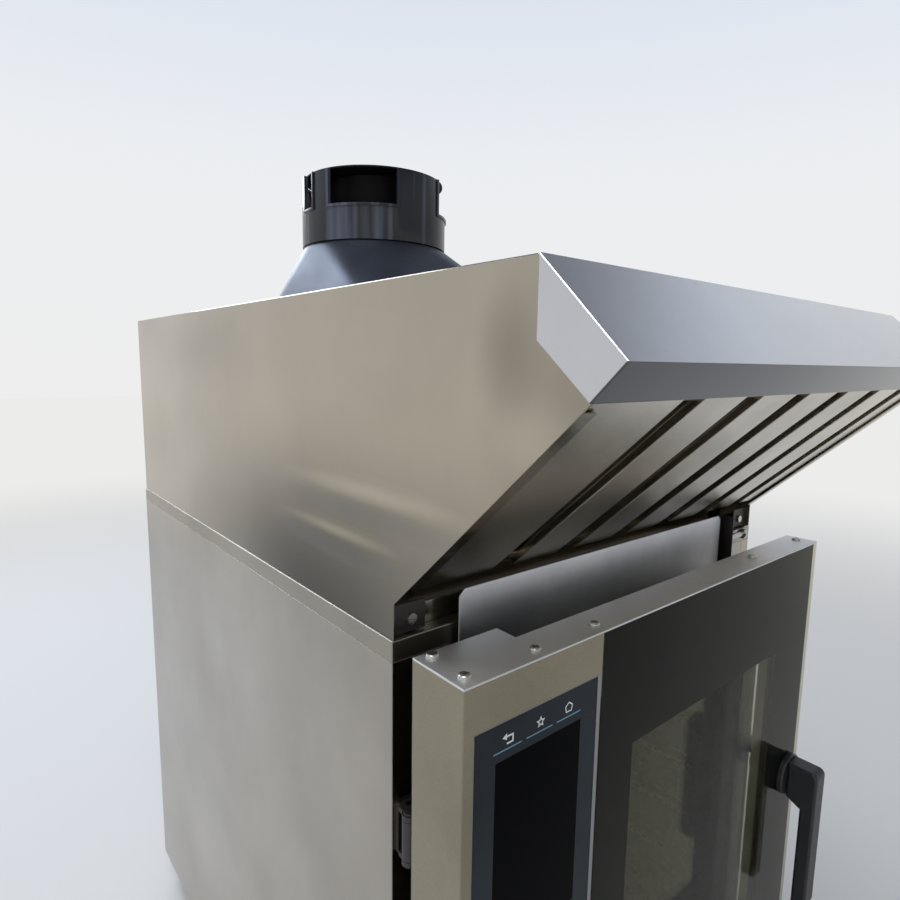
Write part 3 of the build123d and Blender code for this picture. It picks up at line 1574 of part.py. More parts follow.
def sector(turn, angle, reach, mode=Mode.ADD):
    """A wedge of the plan round the chimney's axis, centred at turn degrees."""
    start = radians(turn - angle / 2)
    end = radians(turn + angle / 2)
    far_start = (reach * cos(start), reach * sin(start))
    far_end = (reach * cos(end), reach * sin(end))
    Polygon((0, 0), far_start, far_end, align=None, mode=mode)


with BuildPart() as chimney_ring:
    with BuildSketch(plan(ring_foot)):
        with Locations((chimney_x, chimney_y)):
            Circle(chimney_radius)
    extrude(amount=ring_height)
    fillet(chimney_ring.edges().group_by(Axis.Z)[-1], radius=fold_radius)
    with BuildSketch(plan(ring_foot)):
        with Locations((chimney_x, chimney_y)):
            Circle(neck_radius)
    extrude(amount=neck_top - ring_foot)
    frame_angle = window_angle + 2 * degrees(window_frame / neck_radius)
    for turn in window_turns:
        with BuildSketch(plan(ring_foot + window_sill - frame_rise)):
            with Locations((chimney_x, chimney_y)):
                Circle(neck_radius + frame_rise)
                sector(turn, frame_angle, 2 * chimney_radius, Mode.INTERSECT)
        extrude(amount=window_height + frame_rise)
    with BuildSketch(plan(ring_foot)):
        with Locations((chimney_x, chimney_y)):
            Circle(neck_radius - chimney_wall)
    extrude(amount=neck_top - ring_foot, mode=Mode.SUBTRACT)
    with BuildSketch(plan(ring_foot + window_sill)):
        with Locations((chimney_x, chimney_y)):
            for turn in window_turns:
                sector(turn, window_angle, 2 * chimney_radius)
    extrude(amount=window_height, mode=Mode.SUBTRACT)
chimney_ring.part.label = "chimney_ring"
export_step(chimney_ring.part, "parts/chimney_ring.step")

cap_thickness = 2.0
core_radius = 46.0
core_gap = 4.0  # from the window sills up to the hanging core
with BuildPart() as chimney_cap:
    with BuildSketch(plan(neck_top)):
        with Locations((chimney_x, chimney_y)):
            Circle(neck_radius + frame_rise)
    extrude(amount=cap_thickness)
    fillet(chimney_cap.edges().group_by(Axis.Z)[-1], radius=1.5)
    with BuildSketch(plan(neck_top)):
        with Locations((chimney_x, chimney_y)):
            Circle(core_radius)
            Circle(core_radius - chimney_wall, mode=Mode.SUBTRACT)
    extrude(amount=core_gap - window_height)
chimney_cap.part.label = "chimney_cap"
export_step(chimney_cap.part, "parts/chimney_cap.step")

# Screws of the back and of the front corner brackets, and the bolt beside the deflector
panel_screw_radius = 4.0
panel_screw_rise = 2.2
panel_screw_inset = 12.0
with BuildPart() as casing_screws:
    with BuildSketch(facing(back + panel_screw_rise)):
        with Locations((0, (floor_z + panel_top) / 2)):
            screw_span = casing_width - 2 * return_width - 20
            with GridLocations(screw_span, panel_top - floor_z - 2 * panel_screw_inset, 2, 2):
                Circle(panel_screw_radius)
        with Locations((0, (top_z + hood_top) / 2)):
            with GridLocations(hood_span - 2 * panel_screw_inset, hood_height - 2 * panel_screw_inset, 2, 2):
                Circle(panel_screw_radius)
    extrude(amount=panel_screw_rise)
    with BuildSketch(facing(fixing_y - hood_sheet)):
        with GridLocations(casing_width - 40, 0, 2, 1):
            with Locations((0, top_z + bracket_rise / 2)):
                Circle(panel_screw_radius)
    extrude(amount=panel_screw_rise)
    with BuildSketch(sideways(bolt_x)):
        with Locations((bolt_y, bolt_z)):
            Circle(bolt_radius)
    extrude(amount=bolt_length)
    with BuildSketch(sideways(bolt_x + bolt_length)):
        with Locations((bolt_y, bolt_z)):
            RegularPolygon(bolt_head, 6)
    extrude(amount=-bolt_head)
casing_screws.part.label = "casing_screws"
export_step(casing_screws.part, "parts/casing_screws.step")
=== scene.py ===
"""Dresses the countertop combi oven with its hood and chimney.

Lengths are in metres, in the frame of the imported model: X right, Y back, Z up,
with the origin on the floor midway between the feet.
"""
from math import atan2, cos, degrees, hypot, radians, sin

import bpy
from mathutils import Matrix, Vector


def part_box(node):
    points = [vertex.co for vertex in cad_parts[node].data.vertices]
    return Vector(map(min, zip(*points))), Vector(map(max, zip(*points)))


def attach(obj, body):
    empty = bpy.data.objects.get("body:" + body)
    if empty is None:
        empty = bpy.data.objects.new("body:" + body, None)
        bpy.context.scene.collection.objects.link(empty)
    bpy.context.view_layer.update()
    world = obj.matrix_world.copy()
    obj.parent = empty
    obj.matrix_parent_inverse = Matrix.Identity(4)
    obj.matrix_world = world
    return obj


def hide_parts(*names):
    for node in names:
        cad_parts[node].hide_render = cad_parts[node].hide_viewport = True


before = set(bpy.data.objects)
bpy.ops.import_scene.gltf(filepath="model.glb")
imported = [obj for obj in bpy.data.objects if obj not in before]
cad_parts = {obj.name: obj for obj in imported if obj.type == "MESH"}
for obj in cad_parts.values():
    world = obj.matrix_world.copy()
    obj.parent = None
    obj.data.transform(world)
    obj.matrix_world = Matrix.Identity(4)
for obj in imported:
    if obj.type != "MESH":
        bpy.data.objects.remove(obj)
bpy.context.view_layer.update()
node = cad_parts
bpy.ops.object.select_all(action="DESELECT")
MM = 0.001


# Shader helpers. The owner of a shader is a material or the world.

def set_values(made, values):
    """Gives values to the node's settings, or to its sockets by name."""
    for name, value in values.items():
        if hasattr(made, name):
            setattr(made, name, value)
        else:
            made.inputs[name.replace("_", " ")].default_value = value


def add_node(owner, kind, **values):
    """A node of this kind with these settings and socket values."""
    made = owner.node_tree.nodes.new(kind)
    set_values(made, values)
    return made


def join(owner, source, target):
    """Links an output socket to an input socket."""
    owner.node_tree.links.new(source, target)


def new_material(name, colour, roughness, metallic=0.0, **settings):
    """A material with one Principled shader, its plain values on the shader's own sockets."""
    material = bpy.data.materials.new(name)
    material.use_nodes = True
    material.diffuse_color = (*colour, 1)
    shader = material.node_tree.nodes["Principled BSDF"]
    set_values(shader, {"Base Color": (*colour, 1), "Roughness": roughness,
                        "Metallic": metallic, **settings})
    return material, shader


def noise(material, scale, stretch=(1, 1, 1), detail=3.0, rough=0.5):
    """Noise on the piece's own coordinates, drawn out by stretch."""
    place = add_node(material, "ShaderNodeTexCoord")
    mapping = add_node(material, "ShaderNodeMapping", Scale=stretch)
    pattern = add_node(material, "ShaderNodeTexNoise", Scale=scale, Detail=detail, Roughness=rough)
    join(material, place.outputs["Object"], mapping.inputs["Vector"])
    join(material, mapping.outputs["Vector"], pattern.inputs["Vector"])
    return pattern.outputs["Fac"]


def graded(owner, value, low, high, start=0.3, end=0.7, curve="LINEAR"):
    """A number that runs from low to high as the value goes from start to end."""
    ramp = add_node(owner, "ShaderNodeMapRange", interpolation_type=curve,
                    From_Min=start, From_Max=end, To_Min=low, To_Max=high)
    join(owner, value, ramp.inputs["Value"])
    return ramp.outputs["Result"]


def colour_ramp(owner, value, first, last, *between):
    """A colour that runs with the value through stops, each a position and a colour."""
    ramp = add_node(owner, "ShaderNodeValToRGB")
    stops = ramp.color_ramp.elements
    for stop, (position, colour) in zip((stops[0], stops[1]), (first, last)):
        stop.position = position
        stop.color = (*colour, 1)
    for position, colour in between:
        stops.new(position).color = (*colour, 1)
    join(owner, value, ramp.inputs["Fac"])
    return ramp.outputs["Color"]


def combined(owner, operation, first, second):
    """Two numbers put together by this operation."""
    sum_node = add_node(owner, "ShaderNodeMath", operation=operation)
    join(owner, first, sum_node.inputs[0])
    join(owner, second, sum_node.inputs[1])
    return sum_node.outputs["Value"]


def multiplied(owner, colour, factor):
    """The colour multiplied by a number."""
    product = add_node(owner, "ShaderNodeVectorMath", operation="SCALE")
    join(owner, colour, product.inputs[0])
    join(owner, factor, product.inputs["Scale"])
    return product.outputs["Vector"]


def distance(owner, centre=(0, 0, 0), reach=(1, 1, 1)):
    """How far a place is from the centre, counted in reaches along each axis."""
    place = add_node(owner, "ShaderNodeTexCoord")
    mapping = add_node(owner, "ShaderNodeMapping", Scale=[1 / length for length in reach],
                       Location=[-spot / length for spot, length in zip(centre, reach)])
    measure = add_node(owner, "ShaderNodeVectorMath", operation="LENGTH")
    join(owner, place.outputs["Object"], mapping.inputs["Vector"])
    join(owner, mapping.outputs["Vector"], measure.inputs[0])
    return measure.outputs["Value"]


def patch(material, centre, reach):
    """A soft round or long patch on the piece: 1 at its centre and 0 from its reach on."""
    return graded(material, distance(material, centre, reach), 1.0, 0.0, 0.0, 1.0, "SMOOTHSTEP")


def underside(material):
    """1 on faces that look down, 0 on the others."""
    facing = add_node(material, "ShaderNodeNewGeometry")
    parts = add_node(material, "ShaderNodeSeparateXYZ")
    join(material, facing.outputs["True Normal"], parts.inputs["Vector"])
    return graded(material, parts.outputs["Z"], 1.0, 0.0, -0.30, -0.05)


def narrow_places(material, reach):
    """1 deep in gaps and corners, 0 on open faces."""
    shade = add_node(material, "ShaderNodeAmbientOcclusion", Distance=reach)
    return graded(material, shade.outputs["AO"], 1.0, 0.0, 0.25, 0.75)


def dimmed(material, colour, value, factor):
    """The colour multiplied by the factor where the value is 1, and kept where it is 0."""
    return multiplied(material, colour, graded(material, value, 1.0, factor, 0.0, 1.0))


def relief(material, value, strength, height, under=None):
    """A bump from the pattern's value, laid over another bump where one is given."""
    bump = add_node(material, "ShaderNodeBump", Strength=strength, Distance=height)
    join(material, value, bump.inputs["Height"])
    if under:
        join(material, under, bump.inputs["Normal"])
    return bump.outputs["Normal"]


def lighter(colour, factor):
    """The plain colour made lighter or darker."""
    return tuple(min(1.0, channel * factor) for channel in colour)


# Kinds of material

# Grain of a sheet, named after the axis on which its lines lie close together
GRAIN_X = (40, 1, 1)
GRAIN_Y = (1, 40, 1)
GRAIN_Z = (1, 1, 40)
EDGE_RADIUS = 0.9 * MM
# Tone left in narrow gaps and corners by painted shade
GAP_SHADE_TONE = 0.03


def rolled_steel(name, colour, roughness, grain=GRAIN_Z, waves=0.0, wave_scale=4.0, stain=0.12,
                 dents=(), painted_light_patches=(), underside_shade=1.0, shaded_gap_width=0.0):
    """Stainless sheet with a grain, slow waves, smudges, dents and patches of painted reflection
    and shade.

    The tone of painted shade left on faces that look down, and the width of gaps that turn dark
    with painted shade, are the last two arguments.
    """
    material, shader = new_material(name, colour, roughness, metallic=1.0)
    fine = noise(material, scale=260, stretch=grain, detail=2, rough=0.6)
    smudge = noise(material, scale=7, detail=4, rough=0.6)
    speck = noise(material, scale=60, detail=6, rough=0.7)
    tone = colour_ramp(material, smudge, (0.3, lighter(colour, 1 - stain)),
                       (0.7, lighter(colour, 1 + stain)))
    # Painted light and shade: patches of the sheet made lighter or darker
    for centre, reach, factor in painted_light_patches:
        tone = dimmed(material, tone, patch(material, centre, reach), factor)
    # Painted shade on faces that look down
    if underside_shade < 1:
        tone = dimmed(material, tone, underside(material), underside_shade)
    # Painted shade deep in narrow gaps and corners
    if shaded_gap_width:
        tone = dimmed(material, tone, narrow_places(material, shaded_gap_width), GAP_SHADE_TONE)
    join(material, tone, shader.inputs["Base Color"])

    lines = graded(material, fine, -0.03, 0.03)
    specks = graded(material, speck, roughness - 0.02, roughness + 0.03, 0.30, 0.80)
    join(material, combined(material, "ADD", lines, specks), shader.inputs["Roughness"])

    surface = add_node(material, "ShaderNodeBevel", Radius=EDGE_RADIUS).outputs["Normal"]
    if waves:
        sheet = noise(material, wave_scale, stretch=(1, 1, 1.6), detail=1, rough=0.3)
        surface = relief(material, sheet, strength=1.0, height=waves, under=surface)
    for centre, reach, depth in dents:
        surface = relief(material, patch(material, centre, reach), strength=1.0, height=depth,
                         under=surface)
    surface = relief(material, fine, strength=0.06, height=0.6 * MM, under=surface)
    join(material, surface, shader.inputs["Normal"])
    return material


def moulded_plastic(name, colour, roughness, grain_height=0.2 * MM, grain_scale=900, painted_reflection=None,
                    **settings):
    """Moulded plastic with a fine skin, slow changes of gloss, and dust, or upright bands of
    painted reflection.
    """
    material, shader = new_material(name, colour, roughness, **settings)
    skin = noise(material, grain_scale, detail=2)
    slow = noise(material, scale=14, detail=4, rough=0.6)
    if painted_reflection:
        # Upright bright bands: painted reflections
        reflection_bands = noise(material, scale=55, stretch=(1, 1, 0.04), detail=2)
        tone = colour_ramp(material, reflection_bands, (0.56, colour), (0.78, painted_reflection))
    else:
        tone = colour_ramp(material, slow, (0.3, lighter(colour, 0.8)),
                           (0.7, lighter(colour, 1.35)))
    gloss = graded(material, slow, roughness - 0.05, roughness + 0.1)
    join(material, tone, shader.inputs["Base Color"])
    join(material, gloss, shader.inputs["Roughness"])
    join(material, relief(material, skin, 0.25, grain_height), shader.inputs["Normal"])
    return material


def plated_metal(name, colour, roughness):
    """Bright plated or turned metal with fine marks."""
    material, shader = new_material(name, colour, roughness, metallic=1.0)
    marks = noise(material, scale=500, stretch=(1, 1, 6), detail=3)
    tone = colour_ramp(material, marks, (0.3, lighter(colour, 0.8)), (0.7, lighter(colour, 1.1)))
    gloss = graded(material, marks, roughness - 0.05, roughness + 0.1)
    join(material, tone, shader.inputs["Base Color"])
    join(material, gloss, shader.inputs["Roughness"])
    join(material, relief(material, marks, 0.1, 0.2 * MM), shader.inputs["Normal"])
    return material


def see_through(name, colour, roughness, index):
    """Glass with faint smears in its gloss."""
    material, shader = new_material(name, colour, roughness, IOR=index, Transmission_Weight=1.0)
    smear = noise(material, scale=9, stretch=(1, 1, 3), detail=4, rough=0.6)
    join(material, graded(material, smear, roughness, roughness + 0.02), shader.inputs["Roughness"])
    return material


# Materials

LEFT_FACE = -0.266


def on_left_side(depth, *rows):
    """Patches on the left side's sheets: a row has y, z, the reach in each, and an amount."""
    return [((LEFT_FACE, y, z), (depth, reach_y, reach_z), amount)
            for y, z, reach_y, reach_z, amount in rows]


# Lighter and darker patches on the hood sides are painted light: the darker places are painted
# shade and painted reflection of the floor, and the thin bright arcs with dark edges, the bright
# crescent by the visor and the lighter back are painted reflections
hood_steel = rolled_steel(
    "hood_steel", (0.41, 0.37, 0.305), 0.10, waves=0.011, wave_scale=3.2, stain=0.06,
    dents=on_left_side(
        0.05,
        (-0.425, 0.850, 0.05, 0.10, -0.0020),
        (-0.290, 0.742, 0.15, 0.022, 0.0024),
        (-0.250, 0.705, 0.13, 0.018, 0.0020),
        (0.060, 0.760, 0.20, 0.090, 0.0020)),
    painted_light_patches=on_left_side(
        0.06,
        (-0.20, 0.640, 0.38, 0.180, 0.20),
        (-0.50, 0.800, 0.10, 0.140, 0.72),
        (-0.440, 0.852, 0.034, 0.050, 0.74),
        (0.05, 0.860, 0.22, 0.060, 0.85),
        (-0.285, 0.750, 0.150, 0.010, 1.28),
        (-0.275, 0.733, 0.160, 0.014, 0.84),
        (-0.245, 0.712, 0.110, 0.007, 1.55),
        (-0.235, 0.698, 0.120, 0.010, 0.80),
        (-0.465, 0.802, 0.045, 0.034, 1.25),
        (0.280, 0.800, 0.200, 0.090, 1.16)))
# Faces of the visor that look down are darkened as painted shade
visor_steel = rolled_steel("visor_steel", (0.56, 0.57, 0.60), 0.13, grain=GRAIN_X, waves=0.0015,
                           wave_scale=3.0, stain=0.05, underside_shade=0.22)
# The darker patch on the casing sides is a painted reflection
casing_steel = rolled_steel("casing_steel", (0.41, 0.375, 0.325), 0.20, waves=0.012,
                            wave_scale=3.4, stain=0.10,
                            painted_light_patches=on_left_side(0.06, (0.30, 0.560, 0.24, 0.120, 0.80)))
roof_steel = rolled_steel("roof_steel", (0.36, 0.33, 0.28), 0.34, grain=GRAIN_X, stain=0.10)
door_steel = rolled_steel("door_steel", (0.31, 0.277, 0.20), 0.28)
panel_steel = rolled_steel("panel_steel", (0.40, 0.375, 0.335), 0.30, grain=GRAIN_X)
deflector_steel = rolled_steel("deflector_steel", (0.80, 0.82, 0.90), 0.40, grain=GRAIN_X,
                               stain=0.2)
plate_steel = rolled_steel("plate_steel", (0.72, 0.72, 0.72), 0.48, grain=GRAIN_X)
# The filter's narrow gaps are darkened as painted shade
filter_steel = rolled_steel("filter_steel", (0.62, 0.57, 0.48), 0.20, grain=GRAIN_Y, stain=0.2,
                            shaded_gap_width=16 * MM)
cavity_steel = rolled_steel("cavity_steel", (0.42, 0.40, 0.35), 0.28, stain=0.25)

bright_edge = plated_metal("bright_edge", (0.30, 0.31, 0.32), 0.35)
screw_metal = plated_metal("screw_metal", (0.62, 0.61, 0.58), 0.25)
# Dark metal of the heating element, steam pipe and hinges; on the hood brackets in their recess the
# darkness is painted shade
dark_alloy_and_recess_shade = plated_metal("dark_alloy_and_recess_shade", (0.09, 0.085, 0.08), 0.45)
brass = plated_metal("valve_brass", (0.60, 0.43, 0.18), 0.30)
light_alloy = plated_metal("light_alloy", (0.66, 0.67, 0.68), 0.35)

# The chimney's bright bluish upright bands are painted reflections
chimney_plastic = moulded_plastic("chimney_plastic", (0.012, 0.014, 0.020), 0.18,
                                  painted_reflection=(0.17, 0.19, 0.27), Specular_IOR_Level=0.4)
flare_plastic = moulded_plastic("flare_plastic", (0.016, 0.017, 0.019), 0.34,
                                grain_height=0.6 * MM, grain_scale=700,
                                Specular_Tint=(0.45, 0.60, 1.0, 1), Specular_IOR_Level=0.7)
# Near-black, much darker than the other black plastic, for the chimney's lid and its core
lid_near_black = moulded_plastic("lid_near_black", (0.003, 0.003, 0.003), 0.60, Specular_IOR_Level=0.2)
black_plastic = moulded_plastic("black_plastic", (0.018, 0.018, 0.020), 0.42)
grey_plastic = moulded_plastic("grey_plastic", (0.06, 0.06, 0.065), 0.45)
circuit_green = moulded_plastic("circuit_green", (0.02, 0.10, 0.045), 0.45)
motor_paint = moulded_plastic("motor_paint", (0.05, 0.055, 0.06), 0.40)
seal_rubber = moulded_plastic("seal_rubber", (0.015, 0.015, 0.015), 0.62,
                              grain_height=0.4 * MM, grain_scale=400)
wool = moulded_plastic("mineral_wool", (0.45, 0.38, 0.20), 0.95,
                       grain_height=3 * MM, grain_scale=120)
lamp_cover = moulded_plastic("lamp_cover", (0.80, 0.80, 0.76), 0.35)

display_black = moulded_plastic("display_black", (0.019, 0.025, 0.031), 0.10, grain_height=0.0,
                                Specular_IOR_Level=0.12)
screen_black = moulded_plastic("screen_black", (0.0015, 0.0015, 0.002), 0.10, grain_height=0.0,
                               Specular_IOR_Level=0.02)
sign_white = moulded_plastic("sign_white", (0.80, 0.82, 0.84), 0.30, grain_height=0.01 * MM)
line_blue = moulded_plastic("line_blue", (0.12, 0.32, 0.48), 0.30, grain_height=0.01 * MM)
black_print = moulded_plastic("black_print", (0.003, 0.006, 0.010), 0.60, grain_height=0.0,
                              Specular_IOR_Level=0.1)

# The pane's low index keeps its mirror weak, so that the window behind it stays dark
door_glass = see_through("door_glass", (0.66, 0.64, 0.52), roughness=0.0, index=1.12)
inner_clear = see_through("inner_clear", (0.86, 0.88, 0.84), roughness=0.02, index=1.45)

finish = {
    hood_steel: ["hood_side_left", "hood_side_right"],
    roof_steel: ["hood_roof", "hood_back", "casing_top"],
    visor_steel: ["hood_visor"],
    filter_steel: ["grease_filter", "condensate_gutter"],
    deflector_steel: ["steam_deflector"],
    dark_alloy_and_recess_shade: ["heating_element", "steam_pipe", "hood_brackets", "hinge_brackets",
                 "hinge_leaves"],
    casing_steel: ["casing_left", "casing_right"],
    panel_steel: ["casing_back", "casing_base", "front_frame", "drip_tray", "tray_rails",
                  "fan_cradle", "door_striker", "latch_cam", "door_frame", "glass_clips"],
    door_steel: ["control_box"],
    plate_steel: ["door_end_plates"],
    cavity_steel: ["cavity_liner", "fan_baffle", "cavity_studs", "rack_left", "rack_right",
                   "drain_pipe", "steam_duct", "fan_wheel"],
    bright_edge: ["display_bezel"],
    screw_metal: ["door_screws", "casing_screws", "foot_stems", "motor_shaft"],
    display_black: ["display_glass"],
    circuit_green: ["display_module"],
    door_glass: ["outer_glass"],
    inner_clear: ["inner_glass"],
    seal_rubber: ["door_gasket", "foot_pads"],
    wool: ["insulation_jacket"],
    lamp_cover: ["lamp_strips"],
    black_plastic: ["handle_lever", "handle_boss", "cable_gland"],
    flare_plastic: ["chimney_foot"],
    chimney_plastic: ["chimney_ring", "chimney_cap"],
    motor_paint: ["fan_motor", "hood_motor"],
    grey_plastic: ["power_box"],
    brass: ["water_valve"],
    light_alloy: ["hood_fan_wheel"],
}
for material, names in finish.items():
    for name in names:
        node[name].data.materials.clear()
        node[name].data.materials.append(material)


# Modelling helpers

MERGE_DISTANCE = 0.0005 * MM
SHARP_ANGLE = radians(35)
SMOOTH_ANGLE = radians(30)


def only(piece):
    """Selects this piece alone and makes it the active one."""
    if bpy.context.mode != "OBJECT":
        bpy.ops.object.mode_set(mode="OBJECT")
    bpy.ops.object.select_all(action="DESELECT")
    piece.select_set(True)
    bpy.context.view_layer.objects.active = piece


def edit(piece, action="DESELECT"):
    """Opens the piece in edit mode with nothing of it selected, or with all of it."""
    only(piece)
    bpy.ops.object.mode_set(mode="EDIT")
    bpy.ops.mesh.select_mode(type="VERT")
    bpy.ops.mesh.select_all(action=action)


def pick(piece, kind, test):
    """Selects the vertices or faces of the open piece whose place passes the test."""
    bpy.ops.mesh.select_all(action="DESELECT")
    bpy.ops.mesh.select_mode(type=kind)
    bpy.ops.object.mode_set(mode="OBJECT")
    if kind == "FACE":
        for face in piece.data.polygons:
            face.select = test(face.center)
    else:
        for corner in piece.data.vertices:
            corner.select = test(corner.co)
    bpy.ops.object.mode_set(mode="EDIT")


def settled(name):
    """The piece just made, named, with its place, turn and size taken into its mesh."""
    piece = bpy.context.active_object
    piece.name = name
    bpy.ops.object.transform_apply(location=True, rotation=True, scale=True)
    return piece


def thicken(piece, thickness, offset):
    """Gives the active piece a wall, centred for offset 0 and inwards for offset -1."""
    wall = piece.modifiers.new("wall", "SOLIDIFY")
    wall.thickness = thickness
    wall.offset = offset
    bpy.ops.object.modifier_apply(modifier="wall")


def soften(piece, width, segments):
    """Rounds the sharp edges of the active piece."""
    rounding = piece.modifiers.new("soft_edge", "BEVEL")
    rounding.width = width
    rounding.segments = segments
    rounding.limit_method = "ANGLE"
    rounding.angle_limit = SHARP_ANGLE
    bpy.ops.object.modifier_apply(modifier="soft_edge")
    bpy.ops.object.shade_smooth_by_angle(angle=SMOOTH_ANGLE)


def finish_piece(piece, material, body, thickness=0.0):
    """Closes edit mode, gives the piece its wall and material, and lets it ride on a body."""
    only(piece)
    bpy.ops.object.transform_apply(location=True, rotation=True, scale=True)
    if thickness:
        thicken(piece, thickness, offset=0)
    edit(piece, "SELECT")
    bpy.ops.mesh.remove_doubles(threshold=MERGE_DISTANCE)
    bpy.ops.mesh.normals_make_consistent(inside=False)
    bpy.ops.object.mode_set(mode="OBJECT")
    piece.data.materials.clear()
    piece.data.materials.append(material)
    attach(piece, body)
    piece.select_set(False)


def upright_plate(name, left, right, foot, head, depth):
    """A flat rectangle at this depth that faces the user."""
    bpy.ops.object.select_all(action="DESELECT")
    bpy.ops.mesh.primitive_plane_add(
        size=1, location=((left + right) / 2, depth, (foot + head) / 2),
        rotation=(radians(90), 0, 0))
    bpy.context.active_object.scale = (right - left, head - foot, 1)
    return settled(name)


def upright_figure(name, sides, radius, centre):
    """A flat figure of equal sides that faces the user, one corner up."""
    bpy.ops.object.select_all(action="DESELECT")
    bpy.ops.mesh.primitive_circle_add(vertices=sides, radius=radius, fill_type="NGON",
                                      location=centre, rotation=(radians(90), 0, 0))
    return settled(name)


def upright_cylinder(name, sides, radius, foot, head, ends):
    """A cylinder on the chimney's axis between these heights."""
    bpy.ops.object.select_all(action="DESELECT")
    bpy.ops.mesh.primitive_cylinder_add(
        vertices=sides, radius=radius, depth=head - foot, end_fill_type=ends,
        location=(chimney_x, chimney_y, (foot + head) / 2))
    return settled(name)


def cut_out(plate, left, right, foot, head):
    """Cuts the flat plate along these four lines and takes the part between them out."""
    edit(plate)
    across, up = (1, 0, 0), (0, 0, 1)
    for place, direction in (((left, 0, 0), across), ((right, 0, 0), across),
                             ((0, 0, foot), up), ((0, 0, head), up)):
        bpy.ops.mesh.select_all(action="SELECT")
        bpy.ops.mesh.bisect(plane_co=place, plane_no=direction)
    pick(plate, "FACE", lambda spot: left < spot.x < right and foot < spot.z < head)
    bpy.ops.mesh.delete(type="FACE")
    bpy.ops.object.mode_set(mode="OBJECT")


def outline_only(piece, line):
    """Leaves only a band of this width along the figure's edge."""
    edit(piece, "SELECT")
    bpy.ops.mesh.inset(thickness=line)
    bpy.ops.mesh.delete(type="FACE")


# Outer glass of the door: the black print on its inner face, with the window left clear
glass_low, glass_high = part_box("outer_glass")
casing_left_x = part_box("casing_left")[0].x
casing_top_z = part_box("casing_top")[1].z
bare_rim = 1 * MM
print_depth = glass_high.y + 0.15 * MM
print_thickness = 0.1 * MM
window_left = casing_left_x + 190 * MM
window_right = glass_high.x - 78 * MM
window_foot = 200 * MM
window_head = casing_top_z - 115 * MM
glass_print = upright_plate("glass_print", glass_low.x + bare_rim, glass_high.x - bare_rim,
                            glass_low.z + bare_rim, glass_high.z - bare_rim, print_depth)
cut_out(glass_print, window_left, window_right, window_foot, window_head)
finish_piece(glass_print, black_print, "door", print_thickness)

# Display: the dark screen area
screen_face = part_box("display_glass")[0].y - 0.02 * MM
screen_left = casing_left_x + 30 * MM
screen_right = casing_left_x + 117 * MM
screen_head = casing_top_z - 65 * MM
screen_foot = screen_head - 150 * MM
ink = 0.04 * MM
dark_screen = upright_plate("dark_screen", screen_left, screen_right, screen_foot, screen_head,
                            screen_face)
finish_piece(dark_screen, screen_black, "door", ink)

# The star: every second corner of a ten-sided figure is drawn in
sign_height = casing_top_z - 51 * MM
sign_line = 0.9 * MM
star_points = 5
star_radius = 4.6 * MM
star_waist = 0.46
star_middle = Vector((casing_left_x + 73 * MM, screen_face, sign_height))
star_turns = [radians(360 / star_points * point) for point in range(star_points)]
star_tips = [Vector((sin(turn), 0, cos(turn))) for turn in star_turns]
star = upright_figure("sign_star", 2 * star_points, star_radius, star_middle)
edit(star)
pick(star, "VERT",
     lambda spot: all((spot - star_middle).normalized().dot(tip) < 0.99 for tip in star_tips))
bpy.ops.transform.resize(value=(star_waist, star_waist, star_waist), center_override=star_middle)
outline_only(star, sign_line)
finish_piece(star, sign_white, "door", ink)

# The house: a five-sided figure with its foot made wider
house_radius = 4.4 * MM
house_spread = 1.25
house_middle = (casing_left_x + 103 * MM, screen_face, sign_height)
house = upright_figure("sign_house", 5, house_radius, house_middle)
edit(house)
pick(house, "VERT", lambda spot: spot.z < sign_height - house_radius / 2)
bpy.ops.transform.resize(value=(house_spread, 1, 1), center_override=house_middle)
outline_only(house, sign_line)
finish_piece(house, sign_white, "door", ink)

# The sign for going back: a bent line with an arrow head
stroke = 1.3 * MM
bend_left = casing_left_x + 40 * MM
bend_right = casing_left_x + 46.4 * MM
bend_foot = sign_height - 3.8 * MM
bend_head = sign_height + 2.5 * MM
arrow_radius = 2.8 * MM
arrow_middle = (bend_left - arrow_radius / 2, screen_face, bend_head - stroke / 2)
back_line = upright_plate("sign_back", bend_left, bend_right, bend_foot, bend_head, screen_face)
cut_out(back_line, bend_left - stroke, bend_right - stroke, bend_foot + stroke,
        bend_head - stroke)
arrow_head = upright_figure("arrow_head", 3, arrow_radius, arrow_middle)
edit(arrow_head, "SELECT")
bpy.ops.transform.rotate(value=radians(90), orient_axis="Y", center_override=arrow_middle)
only(back_line)
arrow_head.select_set(True)
bpy.ops.object.join()
finish_piece(back_line, sign_white, "door", ink)

# The lines under the signs
underline_starts = (28 * MM, 59 * MM, 90 * MM)
underline_width = 26.5 * MM
underline_foot = casing_top_z - 58.5 * MM
for place, start in enumerate(underline_starts, 1):
    line_left = casing_left_x + start
    underline = upright_plate(f"underline_{place}", line_left, line_left + underline_width,
                              underline_foot, underline_foot + sign_line, screen_face)
    finish_piece(underline, line_blue, "door", ink)

# Chimney wall: a tube with four windows that are open at the top, each in a raised frame
cap_low, cap_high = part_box("chimney_cap")
ring_low, ring_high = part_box("chimney_ring")
chimney_x = (cap_low.x + cap_high.x) / 2
chimney_y = (cap_low.y + cap_high.y) / 2
chimney_radius = (ring_high.x - ring_low.x) / 2
window_sill = ring_low.z + 33 * MM
frame_width = 2.6 * MM
frame_foot = window_sill - frame_width
frame_rise = 1.4 * MM
wall_thickness = 2.5 * MM
outer_skin = 0.6 * MM
windows = ((60, 28.5), (177.5, 8.5), (228, 28.5), (322, 28.5))  # turn and half width, in degrees


def at_window(spot):
    """Tells whether a place on the wall lies in the turn of one of the four windows."""
    turn = degrees(atan2(spot.y - chimney_y, spot.x - chimney_x)) % 360
    return any(abs(turn - centre) < half for centre, half in windows)


